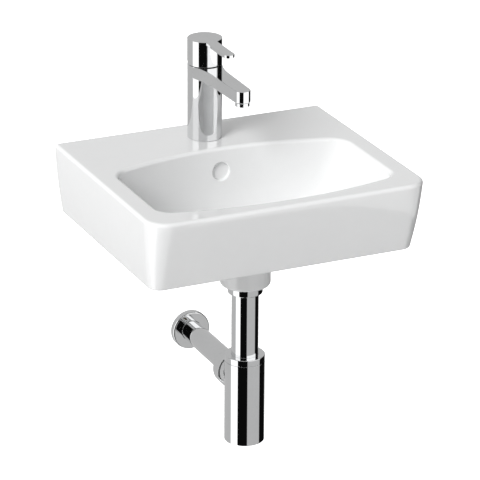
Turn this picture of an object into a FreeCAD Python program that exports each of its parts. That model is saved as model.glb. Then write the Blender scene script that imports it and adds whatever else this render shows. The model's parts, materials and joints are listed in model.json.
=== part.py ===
import FreeCAD, Part
import math
import os
import re

import Sketcher

# A wall-hung washbasin with a single-lever tap, a click waste and a bottle trap.
# The origin lies midway between the two wall-fixing holes, on the wall's face:
# X runs to the right, Y into the wall and Z up. All lengths are in millimetres.

driving_sizes = {
    # general
    "overrun": 2.0,
    "running_clearance": 0.05,
    "seat_clearance": 0.1,
    "body_clearance": 0.3,
    # basin
    "basin_width": 406.0,
    "basin_depth": 345.0,
    "apron_height": 102.4,
    "deck_height": 60.0,
    "deck_wall": 12.0,
    "shell_wall": 11.0,
    "back_wall": 14.0,
    "side_draft": 10.4,
    "middle_side_draft": 3.4,
    "front_draft": 26.5,
    "middle_front_draft": 12.0,
    "front_corner": 32.0,
    "middle_front_corner": 24.0,
    "low_front_corner": 16.0,
    "basin_edge_round": 4.8,
    # bowl
    "bowl_half_width": 172.0,
    "bowl_rear": 107.0,
    "bowl_front": 320.5,
    "bowl_rear_bow": 33.1,
    "bowl_front_bow": 23.7,
    "bowl_depth": 118.0,
    "bowl_floor_wall": 13.0,
    "bowl_floor_margin": 1.5,
    "rim_round": 5.0,
    "overflow_radius": 12.5,
    "overflow_drop": 33.6,
    "overflow_channel_width": 28.0,
    "overflow_channel_depth": 10.0,
    "overflow_channel_wall": 9.0,
    # wall fixings
    "fixing_spacing": 200.0,
    "fixing_hole_radius": 8.0,
    # waste
    "waste_distance": 191.5,
    "waste_hole_radius": 23.0,
    "waste_seat_radius": 32.0,
    "waste_seat_depth": 4.0,
    "neck_radius": 35.2,
    "neck_length": 51.7,
    "neck_round": 5.0,
    "neck_recess_radius": 30.0,
    "neck_recess_height": 23.7,
    "flange_radius": 31.5,
    "flange_thickness": 2.5,
    "top_gasket_thickness": 1.5,
    "barrel_radius": 20.95,
    "barrel_bore_radius": 17.5,
    "barrel_length": 57.5,
    "mouth_radius": 20.0,
    "mouth_depth": 4.0,
    "overflow_slot_width": 12.0,
    "overflow_slot_height": 10.0,
    "overflow_slot_drop": 7.5,
    "hub_radius": 7.0,
    "hub_height": 6.0,
    "hub_drop": 31.5,
    "hub_arm_width": 3.0,
    "bottom_gasket_radius": 28.0,
    "bottom_gasket_thickness": 3.0,
    "waste_washer_thickness": 2.0,
    "backnut_radius": 27.0,
    "backnut_height": 9.0,
    # plug with its click action
    "click_housing_height": 27.5,
    "click_housing_floor": 2.0,
    "click_housing_bore_radius": 5.3,
    "click_housing_lip": 1.5,
    "plug_travel": 9.0,
    "plug_stem_radius": 3.0,
    "plug_stem_tail": 9.0,
    "plug_collar_radius": 5.0,
    "plug_collar_thickness": 2.0,
    "plug_radius": 27.0,
    "plug_thickness": 3.0,
    "plug_crown": 1.6,
    "plug_crown_radius": 15.0,
    "plug_boss_radius": 4.5,
    "plug_boss_length": 6.0,
    "plug_roof": 2.2,
    "plug_seal_radius": 17.2,
    "plug_seal_thickness": 3.0,
    "plug_edge_round": 1.2,
    "spring_height": 12.0,
    # trap
    "union_gap": 0.8,
    "union_radius": 24.4,
    "union_lip": 1.3,
    "union_round": 1.8,
    "union_gasket_thickness": 1.5,
    "inlet_radius": 18.94,
    "inlet_wall": 1.04,
    "inlet_flange_thickness": 1.2,
    "inlet_flange_radius": 20.8,
    "dip_above_floor": 30.0,
    "trap_radius": 28.25,
    "trap_wall": 1.6,
    "trap_floor": 2.0,
    "trap_round": 1.2,
    "trap_outlet_rise": 91.8,
    "trap_height": 129.9,
    "trap_cap_height": 9.0,
    "trap_cap_top": 3.0,
    "trap_cap_spigot": 8.0,
    "trap_cap_round": 0.9,
    "trap_thread_wall": 2.8,
    "trap_thread_length": 8.7,
    "trap_seal_radius": 22.45,
    "trap_seal_height": 6.0,
    # outlet to the wall
    "outlet_drop": 312.4,
    "outlet_boss_radius": 25.5,
    "outlet_boss_reach": 30.0,
    "outlet_spigot_radius": 21.0,
    "outlet_spigot_reach": 42.0,
    "outlet_nut_radius": 26.9,
    "outlet_nut_lip": 3.5,
    "outlet_nut_round": 1.2,
    "outlet_seal_thickness": 3.0,
    "sleeve_radius": 15.75,
    "sleeve_end": 35.0,
    "wall_tube_radius": 15.0,
    "wall_tube_bore_radius": 13.8,
    "wall_tube_start": 120.0,
    "wall_tube_stub": 20.0,
    "wall_tube_end_radius": 14.6,
    "wall_tube_end_length": 19.0,
    "rosette_radius": 28.5,
    "rosette_height": 9.9,
    "rosette_wall": 1.2,
    "rosette_round": 2.5,
    "rosette_seal_radius": 18.0,
    "rosette_seal_thickness": 3.5,
    # tap body and spout
    "tap_distance": 54.0,
    "tap_hole_radius": 17.5,
    "tap_radius": 24.2,
    "tap_gasket_radius": 23.4,
    "tap_gasket_bore_radius": 18.5,
    "tap_gasket_thickness": 1.0,
    "tap_body_top": 107.1,
    "tap_edge_round": 0.5,
    "seam_ring_height": 0.6,
    "seam_ring_radius": 22.8,
    "spout_height": 17.5,
    "spout_reach": 124.0,
    "spout_tip_radius": 11.2,
    "spout_neck_reach": 50.0,
    "spout_neck_half_width": 12.8,
    "spout_root_reach": 9.1,
    "spout_flare_sag": 1.9,
    "spout_top_round": 0.8,
    "spout_bottom_round": 1.6,
    "spout_channel_radius": 4.5,
    "spout_channel_floor": 2.2,
    "aerator_radius": 10.0,
    "aerator_bore_radius": 8.5,
    "aerator_drop": 5.0,
    "aerator_socket_depth": 7.0,
    "aerator_seal_thickness": 1.0,
    "aerator_seal_bore_radius": 6.0,
    "aerator_insert_rise": 1.5,
    "aerator_jet_radius": 0.9,
    "aerator_jet_spacing": 3.6,
    # tap fixing below the deck
    "stud_radius": 4.0,
    "stud_offset": 9.0,
    "stud_socket_depth": 14.0,
    "stud_tail": 46.0,
    "inlet_hole_radius": 4.5,
    "inlet_hole_depth": 15.0,
    "inlet_channel_radius": 4.1,
    "clamp_radius": 23.5,
    "clamp_slot_width": 30.0,
    "clamp_land": 6.5,
    "clamp_rubber_thickness": 2.0,
    "clamp_plate_thickness": 3.0,
    "tap_nut_flats": 13.0,
    "tap_nut_height": 20.0,
    # cartridge
    "cartridge_radius": 17.4,
    "cartridge_drop": 41.1,
    "cartridge_shoulder_drop": 6.1,
    "cartridge_neck_radius": 13.0,
    "cartridge_neck_drop": 0.6,
    "cartridge_nut_radius": 20.4,
    "cartridge_nut_bore_radius": 13.2,
    "cartridge_shaft_radius": 8.0,
    "cartridge_shaft_length": 14.0,
    "cartridge_port_radius": 4.0,
    "cartridge_port_wall": 1.0,
    "cartridge_seal_height": 1.2,
    "cartridge_seal_radius": 6.0,
    "cartridge_seal_bore_radius": 3.2,
    "cartridge_seal_ring": 9.5,
    "rotor_radius": 12.5,
    "rotor_thickness": 2.2,
    "ear_inside": 5.0,
    "ear_outside": 9.0,
    "ear_half_depth": 4.0,
    "ear_above_pin": 4.0,
    "pin_radius": 1.5,
    "pin_rise": 6.4,
    # handle
    "handle_gap": 0.9,
    "handle_radius": 24.4,
    "handle_height": 36.2,
    "handle_round": 0.8,
    "handle_bore_radius": 20.0,
    "handle_roof": 8.0,
    "handle_back_angle": 27.0,
    "handle_boss_radius": 7.0,
    "handle_boss_above_pin": 6.5,
    "lever_half_width": 8.2,
    "lever_thickness": 4.5,
    "lever_reach": 79.0,
    "lever_round": 0.8,
    "stem_radius": 4.0,
    "stem_half_width": 4.6,
    "stem_above_pin": 17.5,
    "handle_screw_radius": 2.5,
    "handle_screw_length": 5.0,
    "handle_button_radius": 3.5,
    "handle_button_length": 4.0,
    "handle_button_drop": 16.0,
}

document = FreeCAD.newDocument("Washbasin")
sheet = document.addObject("Spreadsheet::Sheet", "Sizes")
for row, (alias, length) in enumerate(driving_sizes.items(), start=1):
    sheet.set(f"A{row}", alias)
    sheet.set(f"B{row}", str(length))
    sheet.setAlias(f"B{row}", alias)
document.recompute()


class SheetReader:
    """Gives a cell's number by its alias, for shapes made with Part's functions."""

    def __getattr__(self, alias):
        return float(sheet.get(alias))


size = SheetReader()
X = FreeCAD.Vector(1, 0, 0)
Y = FreeCAD.Vector(0, 1, 0)
Z = FreeCAD.Vector(0, 0, 1)
TO_THE_WALL = FreeCAD.Rotation(X, -90)
pieces = []


def bound(text):
    """Turns an expression over aliases into one over the sheet's cells."""
    return re.sub(r"[a-z]\w*\b(?!\()", lambda match: "Sizes." + match.group(), text)


def bind(thing, properties):
    for name, text in properties.items():
        thing.setExpression(name, bound(text))
    return thing


def place(thing, x="0", y="0", z="0", rotation=None):
    if rotation:
        thing.Placement = FreeCAD.Placement(FreeCAD.Vector(), rotation)
    return bind(thing, {"Placement.Base.x": x, "Placement.Base.y": y, "Placement.Base.z": z})


def keep(thing, label):
    """Names a finished sub-part and puts it on the list of pieces."""
    thing.Label = label
    pieces.append(thing)
    return thing


def origin_plane(body, role):
    return next(plane for plane in body.Origin.OriginFeatures if plane.Role == role)


def draw_profile(sketch, points):
    """Draws a closed outline whose corners are held by the sheet's cells."""
    count = len(points)
    for index in range(count):
        here = FreeCAD.Vector(math.cos(index), math.sin(index), 0)
        there = FreeCAD.Vector(math.cos(index + 1), math.sin(index + 1), 0)
        sketch.addGeometry(Part.LineSegment(here, there), False)
    for index, (across, up) in enumerate(points):
        following = (index + 1) % count
        sketch.addConstraint(Sketcher.Constraint("Coincident", index, 2, following, 1))
        for kind, text in (("DistanceX", across), ("DistanceY", up)):
            constraint = sketch.addConstraint(Sketcher.Constraint(kind, -1, 1, index, 1, 1.0))
            sketch.setExpression(f"Constraints[{constraint}]", bound(text))


def turned(name, points, rounds=None, cuts=None):
    """A body turned about its own Z axis from (radius, height) corners.

    rounds maps a size's alias to the corners that it rounds.
    """
    body = document.addObject("PartDesign::Body", name)
    sketch = body.newObject("Sketcher::SketchObject", name + "_profile")
    sketch.AttachmentSupport = (origin_plane(body, "XZ_Plane"), [""])
    sketch.MapMode = "FlatFace"
    draw_profile(sketch, points)
    turn = body.newObject("PartDesign::Revolution", name + "_turn")
    turn.Profile = sketch
    turn.ReferenceAxis = (sketch, ["V_Axis"])
    turn.Angle = 360
    document.recompute()
    feature = turn
    for alias, corners in (rounds or {}).items():
        edges = []
        for corner in corners:
            spot = sketch.Geometry[corner].StartPoint
            edges += ring_edges(feature.Shape, spot.x, spot.y)
        fillet = body.newObject("PartDesign::Fillet", name + "_" + alias)
        fillet.Base = (feature, edges)
        bind(fillet, {"Radius": alias})
        document.recompute()
        feature = fillet
    return body


def ring_edges(shape, radius, height):
    """The names of the full-circle edges of one radius at one height of a turned shape."""
    names = []
    for number, edge in enumerate(shape.Edges, start=1):
        curve = edge.Curve
        if not isinstance(curve, Part.Circle):
            continue
        same_radius = math.isclose(curve.Radius, radius, rel_tol=1e-6)
        if same_radius and math.isclose(curve.Center.z, height, rel_tol=1e-6, abs_tol=1e-6):
            names.append(f"Edge{number}")
    return names


def cylinder(name, radius, height, **where):
    solid = document.addObject("Part::Cylinder", name)
    return place(bind(solid, {"Radius": radius, "Height": height}), **where)


def block(name, length, width, height, **where):
    solid = document.addObject("Part::Box", name)
    return place(bind(solid, {"Length": length, "Width": width, "Height": height}), **where)


def cut(name, base, tool):
    result = document.addObject("Part::Cut", name)
    result.Base = base
    result.Tool = tool
    return result


def fuse(name, solids):
    result = document.addObject("Part::MultiFuse", name)
    result.Shapes = solids
    return result


def group(name, solids):
    result = document.addObject("Part::Compound", name)
    result.Links = solids
    return result


def from_shape(label, shape, x=0.0, y=0.0, z=0.0):
    feature = document.addObject("Part::Feature", label)
    feature.Shape = shape
    feature.Placement = FreeCAD.Placement(FreeCAD.Vector(x, y, z), FreeCAD.Rotation())
    return keep(feature, label)


def washer(label, bore, radius, thickness, rounds=None, **where):
    points = [(bore, "0"), (radius, "0"), (radius, thickness), (bore, thickness)]
    return keep(place(turned(label, points, rounds), **where), label)


def arc_edge(start, middle, end):
    return Part.Arc(start, middle, end).toShape()


def line_edge(start, end):
    return Part.LineSegment(start, end).toShape()


def edges_where(shape, test):
    """The edges whose every sampled point passes the test."""
    found = []
    for edge in shape.Edges:
        span = edge.LastParameter - edge.FirstParameter
        points = [edge.valueAt(edge.FirstParameter + share * span) for share in (0, 0.25, 0.5, 0.75, 1)]
        if all(test(point) for point in points):
            found.append(edge)
    return found


def edge_middle(edge):
    return edge.valueAt((edge.FirstParameter + edge.LastParameter) / 2)


# Basin


def bulged_outline(half, rear, front, rear_bow, front_bow, rear_corner, front_corner, height):
    """A wire with straight sides, bowed rear and front edges and round corners."""
    rear_radius = (half**2 + rear_bow**2) / (2 * rear_bow)
    front_radius = (half**2 + front_bow**2) / (2 * front_bow)
    rear_centre = -rear - rear_radius
    front_centre = -front + front_radius
    rear_side = rear_centre + math.sqrt((rear_radius - rear_corner)**2 - (half - rear_corner)**2)
    front_side = front_centre - math.sqrt((front_radius - front_corner)**2 - (half - front_corner)**2)

    def point(across, along):
        return FreeCAD.Vector(across, along, height)

    def pushed_out(centre_x, centre_y, radius, target_x, target_y):
        distance = math.hypot(target_x - centre_x, target_y - centre_y)
        across = centre_x + (target_x - centre_x) / distance * radius
        return across, centre_y + (target_y - centre_y) / distance * radius

    rear_x, rear_y = pushed_out(0, rear_centre, rear_radius, half - rear_corner, rear_side)
    front_x, front_y = pushed_out(0, front_centre, front_radius, half - front_corner, front_side)

    def corner(side, corner_y, radius, start, end):
        centre_x = half - radius
        middle_x = (start[0] + end[0]) / 2
        middle_y = (start[1] + end[1]) / 2
        far_x, far_y = pushed_out(centre_x, corner_y, radius, middle_x, middle_y)
        return arc_edge(point(side * start[0], start[1]), point(side * far_x, far_y),
                        point(side * end[0], end[1]))

    return Part.Wire([
        arc_edge(point(-rear_x, rear_y), point(0, -rear), point(rear_x, rear_y)),
        corner(1, rear_side, rear_corner, (rear_x, rear_y), (half, rear_side)),
        line_edge(point(half, rear_side), point(half, front_side)),
        corner(1, front_side, front_corner, (half, front_side), (front_x, front_y)),
        arc_edge(point(front_x, front_y), point(0, -front), point(-front_x, front_y)),
        corner(-1, front_side, front_corner, (front_x, front_y), (half, front_side)),
        line_edge(point(-half, front_side), point(-half, rear_side)),
        corner(-1, rear_side, rear_corner, (half, rear_side), (rear_x, rear_y)),
    ])


def shell_outline(half, depth, corner, height):
    """A rectangle that reaches just into the wall and whose two front corners are round."""
    pull = corner * (1 - math.sqrt(0.5))
    rear = size.overrun

    def point(across, along):
        return FreeCAD.Vector(across, along, height)

    return Part.Wire([
        line_edge(point(-half, rear), point(half, rear)),
        line_edge(point(half, rear), point(half, corner - depth)),
        arc_edge(point(half, corner - depth), point(half - pull, pull - depth), point(half - corner, -depth)),
        line_edge(point(half - corner, -depth), point(corner - half, -depth)),
        arc_edge(point(corner - half, -depth), point(pull - half, pull - depth), point(-half, corner - depth)),
        line_edge(point(-half, corner - depth), point(-half, rear)),
    ])


def lofted(wires, ruled=False):
    return Part.makeLoft(wires, True, ruled)


def shell_loft(wall, top_drop, bottom_reach):
    """The apron's outer form, or its hollow when a wall is taken off."""
    half = size.basin_width / 2 - wall
    depth = size.basin_depth - wall
    middle_drop = size.apron_height / 2
    return lofted([
        shell_outline(half - size.side_draft, depth - size.front_draft,
                      size.low_front_corner - wall / 2, -size.apron_height - bottom_reach),
        shell_outline(half - size.middle_side_draft, depth - size.middle_front_draft,
                      size.middle_front_corner - wall / 2, -middle_drop),
        shell_outline(half, depth, size.front_corner - wall / 2, -top_drop),
    ])


# Each row follows the bowl from the rim down to the waste: the share of the depth,
# how far the side, the rear and the front have closed in on the waste, the bow that
# is left, and the rear and front corners as shares of the half width.
bowl_section_shares = (
    (0.00, 0.000, 0.00, 0.00, 1.00, 0.19, 0.150),
    (0.17, 0.027, 0.04, 0.04, 0.95, 0.22, 0.172),
    (0.51, 0.115, 0.13, 0.14, 0.80, 0.28, 0.26),
    (0.78, 0.257, 0.33, 0.34, 0.65, 0.36, 0.36),
    (0.915, 0.486, 0.66, 0.66, 0.50, 0.43, 0.45),
    (0.97, 0.757, 1.00, 0.98, 0.42, 0.54, 0.54),
    (1.00, 1.000, 1.00, 1.00, 0.30, 0.84, 0.84),
)
# How much of an offset goes into the radius of a corner.
corner_growth_share = 0.6
rim_steps = 6
steps_between_rows = 4


def slope_between(before, after):
    """A slope that keeps a cubic curve from passing beyond the rows on either side."""
    return 2 * before * after / (before + after) if before * after > 0 else 0.0


def through_rows(values):
    """Values on a smooth curve through the given ones, with a few steps between each two."""
    steps = [end - start for start, end in zip(values, values[1:])]
    slopes = [steps[0]]
    slopes += [slope_between(before, after) for before, after in zip(steps, steps[1:])]
    slopes.append(steps[-1])
    curve = []
    for start, step, leave, arrive in zip(values, steps, slopes, slopes[1:]):
        for number in range(steps_between_rows):
            share = number / steps_between_rows
            curve.append(start + step * (3 * share**2 - 2 * share**3)
                         + leave * (share**3 - 2 * share**2 + share) + arrive * (share**3 - share**2))
    curve.append(values[-1])
    return curve


bowl_level_shares = list(zip(*[through_rows(column) for column in zip(*bowl_section_shares)]))


def bowl_outline(row, offset, height):
    """One level of the bowl, moved outward by the offset."""
    _, side_share, rear_share, front_share, bow_share, *corner_shares = row
    low_half = size.waste_seat_radius - size.bowl_floor_margin
    low_rear = size.waste_distance - low_half
    low_front = size.waste_distance + low_half
    half = size.bowl_half_width + (low_half - size.bowl_half_width) * side_share
    rear = size.bowl_rear + (low_rear - size.bowl_rear) * rear_share
    front = size.bowl_front + (low_front - size.bowl_front) * front_share
    rear_corner, front_corner = [half * share + offset * corner_growth_share for share in corner_shares]
    return bulged_outline(
        half + offset, rear - offset, front + offset,
        size.bowl_rear_bow * bow_share, size.bowl_front_bow * bow_share,
        rear_corner, front_corner, height)


def bowl_loft(offset, top_drop, bottom_drop):
    """The bowl's inner form, or its outer form when it is offset by the wall."""
    depth = bottom_drop - top_drop
    wires = [bowl_outline(row, offset, -top_drop - depth * row[0]) for row in bowl_level_shares]
    return lofted(wires, ruled=True)


def rim_loft():
    """The round lip that leads from the deck into the bowl."""
    wires = []
    for step in range(rim_steps + 1):
        turn = math.pi / 2 * step / rim_steps
        offset = size.rim_round * (1 - math.sin(turn))
        wires.append(bowl_outline(bowl_section_shares[0], offset, -size.rim_round * (1 - math.cos(turn))))
    return lofted(wires, ruled=True)


def upright(radius, bottom, top, x=0.0, y=0.0):
    """A cylinder that stands between two heights."""
    return Part.makeCylinder(radius, top - bottom, FreeCAD.Vector(x, y, bottom))


def brick(half_width, front, rear, bottom, top):
    """A box about the X=0 plane, between two Y places and two heights."""
    corner = FreeCAD.Vector(-half_width, front, bottom)
    return Part.makeBox(2 * half_width, rear - front, top - bottom, corner)


def basin_shape():
    """The whole ceramic basin, with the top of its deck at Z = 0."""
    outer = shell_loft(0, 0, 0)

    def at_deck(point):
        return abs(point.z) < size.seat_clearance

    free_edges = [edge for edge in edges_where(outer, at_deck) if edge_middle(edge).y < -size.overrun]
    outer = outer.makeFillet(size.basin_edge_round, free_edges)
    hollow = shell_loft(size.shell_wall, size.deck_wall, size.overrun)
    band = brick(size.basin_width, -size.back_wall, 2 * size.overrun, -2 * size.apron_height, 0)
    in_the_wall = brick(size.basin_width, 0, 2 * size.overrun, -2 * size.apron_height, size.apron_height)
    apron = outer.cut([hollow.cut(band), in_the_wall])

    bowl = bowl_loft(size.shell_wall, 0, size.bowl_depth + size.bowl_floor_wall)
    waste_y = -size.waste_distance
    neck_bottom = -size.bowl_depth - size.neck_length
    neck = upright(size.neck_radius, neck_bottom, -size.bowl_depth, y=waste_y)
    foot = edges_where(neck, lambda point: abs(point.z - neck_bottom) < size.seat_clearance)
    neck = neck.makeFillet(size.neck_round, foot)
    channel_front = overflow_channel_front()
    channel_rear = channel_front + size.overflow_channel_depth
    channel_top = size.overflow_radius - size.overflow_drop
    flange_bottom = size.top_gasket_thickness - size.waste_seat_depth - size.bowl_depth
    channel_bottom = flange_bottom - size.overflow_slot_drop - size.overflow_slot_height
    wall = size.overflow_channel_wall
    half_channel = size.overflow_channel_width / 2
    rib = brick(half_channel + wall, waste_y, channel_rear + wall, channel_bottom - wall, -size.deck_wall / 2)
    body = apron.fuse([bowl, neck, rib])

    half_spacing = size.fixing_spacing / 2
    cuts = [
        bowl_loft(0, size.rim_round, size.bowl_depth),
        rim_loft(),
        upright(size.waste_seat_radius, -size.bowl_depth - size.waste_seat_depth,
                size.overrun - size.bowl_depth, y=waste_y),
        upright(size.waste_hole_radius, neck_bottom, -size.bowl_depth, y=waste_y),
        upright(size.neck_recess_radius, neck_bottom - size.overrun,
                neck_bottom + size.neck_recess_height, y=waste_y),
        upright(size.tap_hole_radius, -2 * size.deck_wall, size.overrun, y=-size.tap_distance),
        brick(half_channel, channel_front, channel_rear, channel_bottom, channel_top),
        brick(half_channel, waste_y + size.waste_hole_radius / 2, channel_rear,
              channel_bottom, channel_bottom + size.overflow_slot_height),
        Part.makeCylinder(size.overflow_radius, channel_rear - waste_y,
                          FreeCAD.Vector(0, waste_y, -size.overflow_drop), Y),
    ]
    for side in (-1, 1):
        mouth = FreeCAD.Vector(side * half_spacing, -size.back_wall - size.overrun, -size.deck_height)
        cuts.append(Part.makeCylinder(size.fixing_hole_radius, size.back_wall + 2 * size.overrun, mouth, Y))
    return body.cut(cuts)


def overflow_channel_front():
    """Where the overflow channel starts, just behind the bowl's rear wall."""
    return size.shell_wall - size.bowl_rear - size.overflow_channel_wall / 2


from_shape("basin_body", basin_shape(), z=size.deck_height)


# Waste and its click plug, all about the waste's axis

waste_y = "-waste_distance"
bowl_floor = "deck_height - bowl_depth"
neck_bottom = f"{bowl_floor} - neck_length"
flange_bottom = f"{bowl_floor} - waste_seat_depth + top_gasket_thickness"
barrel_end = f"{flange_bottom} - barrel_length"
hub_top = f"{flange_bottom} - hub_drop"


def on_waste(height, across="0", along="0"):
    return {"x": across, "y": f"{waste_y} + {along}", "z": height}


def make_waste():
    barrel = turned("waste_barrel", [
        ("barrel_bore_radius", "0"),
        ("barrel_radius", "0"),
        ("barrel_radius", "barrel_length"),
        ("flange_radius", "barrel_length"),
        ("flange_radius", "barrel_length + flange_thickness"),
        ("mouth_radius", "barrel_length + flange_thickness"),
        ("barrel_bore_radius", "barrel_length + flange_thickness - mouth_depth"),
    ])
    place(barrel, **on_waste(barrel_end))
    slot_bottom = f"{flange_bottom} - overflow_slot_drop - overflow_slot_height"
    reach = "barrel_radius + overrun"
    slots = [
        block("waste_side_slots", f"2 * ({reach})", "overflow_slot_width", "overflow_slot_height",
              **on_waste(slot_bottom, f"-({reach})", "-overflow_slot_width / 2")),
        block("waste_rear_slots", "overflow_slot_width", f"2 * ({reach})", "overflow_slot_height",
              **on_waste(slot_bottom, "-overflow_slot_width / 2", f"-({reach})")),
    ]
    slotted = cut("waste_slotted", barrel, fuse("waste_slots", slots))
    hub_bottom = f"{hub_top} - hub_height"
    arm_reach = "(barrel_bore_radius + barrel_radius) / 2"
    spider = [
        cylinder("waste_hub", "hub_radius", "hub_height", **on_waste(hub_bottom)),
        block("waste_side_arms", f"2 * {arm_reach}", "hub_arm_width", "hub_height",
              **on_waste(hub_bottom, f"-{arm_reach}", "-hub_arm_width / 2")),
        block("waste_rear_arms", "hub_arm_width", f"2 * {arm_reach}", "hub_height",
              **on_waste(hub_bottom, "-hub_arm_width / 2", f"-{arm_reach}")),
    ]
    keep(fuse("waste_body", [slotted] + spider), "waste_body")

    recess_roof = f"{neck_bottom} + neck_recess_height"
    gasket_bottom = f"{recess_roof} - bottom_gasket_thickness"
    washer_bottom = f"{gasket_bottom} - waste_washer_thickness"
    barrel_fit = "barrel_radius + running_clearance"
    washer("waste_top_gasket", barrel_fit, "flange_radius", "top_gasket_thickness",
           **on_waste(f"{bowl_floor} - waste_seat_depth"))
    washer("waste_bottom_gasket", barrel_fit, "bottom_gasket_radius", "bottom_gasket_thickness",
           **on_waste(gasket_bottom))
    washer("waste_washer", barrel_fit, "bottom_gasket_radius", "waste_washer_thickness",
           **on_waste(washer_bottom))
    washer("waste_backnut", barrel_fit, "backnut_radius", "backnut_height",
           **on_waste(f"{washer_bottom} - backnut_height"))


def make_plug():
    spring_bottom = f"{hub_top} + click_housing_floor"
    collar_bottom = f"{spring_bottom} + spring_height"
    cap_bottom = f"{bowl_floor} + body_clearance"
    stem_fit = "plug_stem_radius + body_clearance"
    lip_bottom = "click_housing_height - click_housing_lip"
    housing = turned("click_housing", [
        ("0", "0"),
        ("hub_radius", "0"),
        ("hub_radius", "click_housing_height"),
        (stem_fit, "click_housing_height"),
        (stem_fit, lip_bottom),
        ("click_housing_bore_radius", lip_bottom),
        ("click_housing_bore_radius", "click_housing_floor"),
        ("0", "click_housing_floor"),
    ])
    keep(place(housing, **on_waste(hub_top)), "click_housing")
    washer("click_spring", stem_fit, "plug_collar_radius", "spring_height", **on_waste(spring_bottom))

    stem_bottom = f"{collar_bottom} - plug_stem_tail"
    stem_top = f"{cap_bottom} + plug_thickness - plug_roof"
    collar_top = "plug_stem_tail + plug_collar_thickness"
    stem_length = f"({stem_top}) - ({stem_bottom})"
    stem = turned("plug_stem", [
        ("0", "0"),
        ("plug_stem_radius", "0"),
        ("plug_stem_radius", "plug_stem_tail"),
        ("plug_collar_radius", "plug_stem_tail"),
        ("plug_collar_radius", collar_top),
        ("plug_stem_radius", collar_top),
        ("plug_stem_radius", stem_length),
        ("0", stem_length),
    ])
    keep(place(stem, **on_waste(stem_bottom)), "plug_stem")

    bore = "plug_stem_radius + running_clearance"
    roof = "plug_boss_length + plug_thickness - plug_roof"
    shoulder = "plug_boss_length + plug_thickness"
    cap = turned("plug_cap", [
        (bore, "0"),
        ("plug_boss_radius", "0"),
        ("plug_boss_radius", "plug_boss_length"),
        ("plug_radius", "plug_boss_length"),
        ("plug_radius", shoulder),
        ("plug_crown_radius", f"{shoulder} + plug_crown"),
        ("0", f"{shoulder} + plug_crown"),
        ("0", roof),
        (bore, roof),
    ], {"plug_edge_round": [4]})
    keep(place(cap, **on_waste(f"{cap_bottom} - plug_boss_length")), "plug_cap")
    washer("plug_seal", "plug_boss_radius + running_clearance", "plug_seal_radius", "plug_seal_thickness",
           **on_waste(f"{cap_bottom} - plug_seal_thickness"))


# Trap, from the union nut down to the cup

union_gasket_bottom = f"{barrel_end} - union_gasket_thickness"
inlet_flange_bottom = f"{union_gasket_bottom} - inlet_flange_thickness"
union_bottom = f"{inlet_flange_bottom} - union_lip"
outlet_level = "deck_height - outlet_drop"
trap_bottom = f"{outlet_level} - trap_outlet_rise"
trap_body_height = "trap_height - trap_cap_height - body_clearance"


def make_trap():
    union_height = f"({neck_bottom} - union_gap) - ({union_bottom})"
    thread = "barrel_radius + seat_clearance"
    lip_bore = "inlet_radius + seat_clearance"
    nut = turned("trap_union_nut", [
        (lip_bore, "0"),
        ("union_radius", "0"),
        ("union_radius", union_height),
        (thread, union_height),
        (thread, "union_lip"),
        (lip_bore, "union_lip"),
    ], {"union_round": [1]})
    keep(place(nut, **on_waste(union_bottom)), "trap_union_nut")
    washer("union_gasket", "barrel_bore_radius", "inlet_flange_radius", "union_gasket_thickness",
           **on_waste(union_gasket_bottom))

    dip_bottom = f"{trap_bottom} + trap_floor + dip_above_floor"
    tube_length = f"({union_gasket_bottom}) - ({dip_bottom})"
    tube = turned("inlet_tube", [
        ("inlet_radius - inlet_wall", "0"),
        ("inlet_radius", "0"),
        ("inlet_radius", f"{tube_length} - inlet_flange_thickness"),
        ("inlet_flange_radius", f"{tube_length} - inlet_flange_thickness"),
        ("inlet_flange_radius", tube_length),
        ("inlet_radius - inlet_wall", tube_length),
    ])
    keep(place(tube, **on_waste(dip_bottom)), "inlet_tube")

    cap_top = "trap_cap_spigot + trap_cap_height"
    tube_fit = "inlet_radius + running_clearance"
    seal_fit = "trap_seal_radius + running_clearance"
    spigot_radius = "trap_radius - trap_thread_wall - seat_clearance"
    cap = turned("trap_cap", [
        (seal_fit, "0"),
        (spigot_radius, "0"),
        (spigot_radius, "trap_cap_spigot"),
        ("trap_radius", "trap_cap_spigot"),
        ("trap_radius", cap_top),
        (tube_fit, cap_top),
        (tube_fit, f"{cap_top} - trap_cap_top"),
        (seal_fit, f"{cap_top} - trap_cap_top"),
    ], {"trap_cap_round": [4]})
    trap_top = f"{trap_bottom} + trap_height"
    keep(place(cap, **on_waste(f"{trap_top} - trap_cap_height - trap_cap_spigot")), "trap_cap")
    washer("trap_cap_seal", tube_fit, "trap_seal_radius", "trap_seal_height",
           **on_waste(f"{trap_top} - trap_cap_top - trap_seal_height"))
    make_trap_body()


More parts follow.
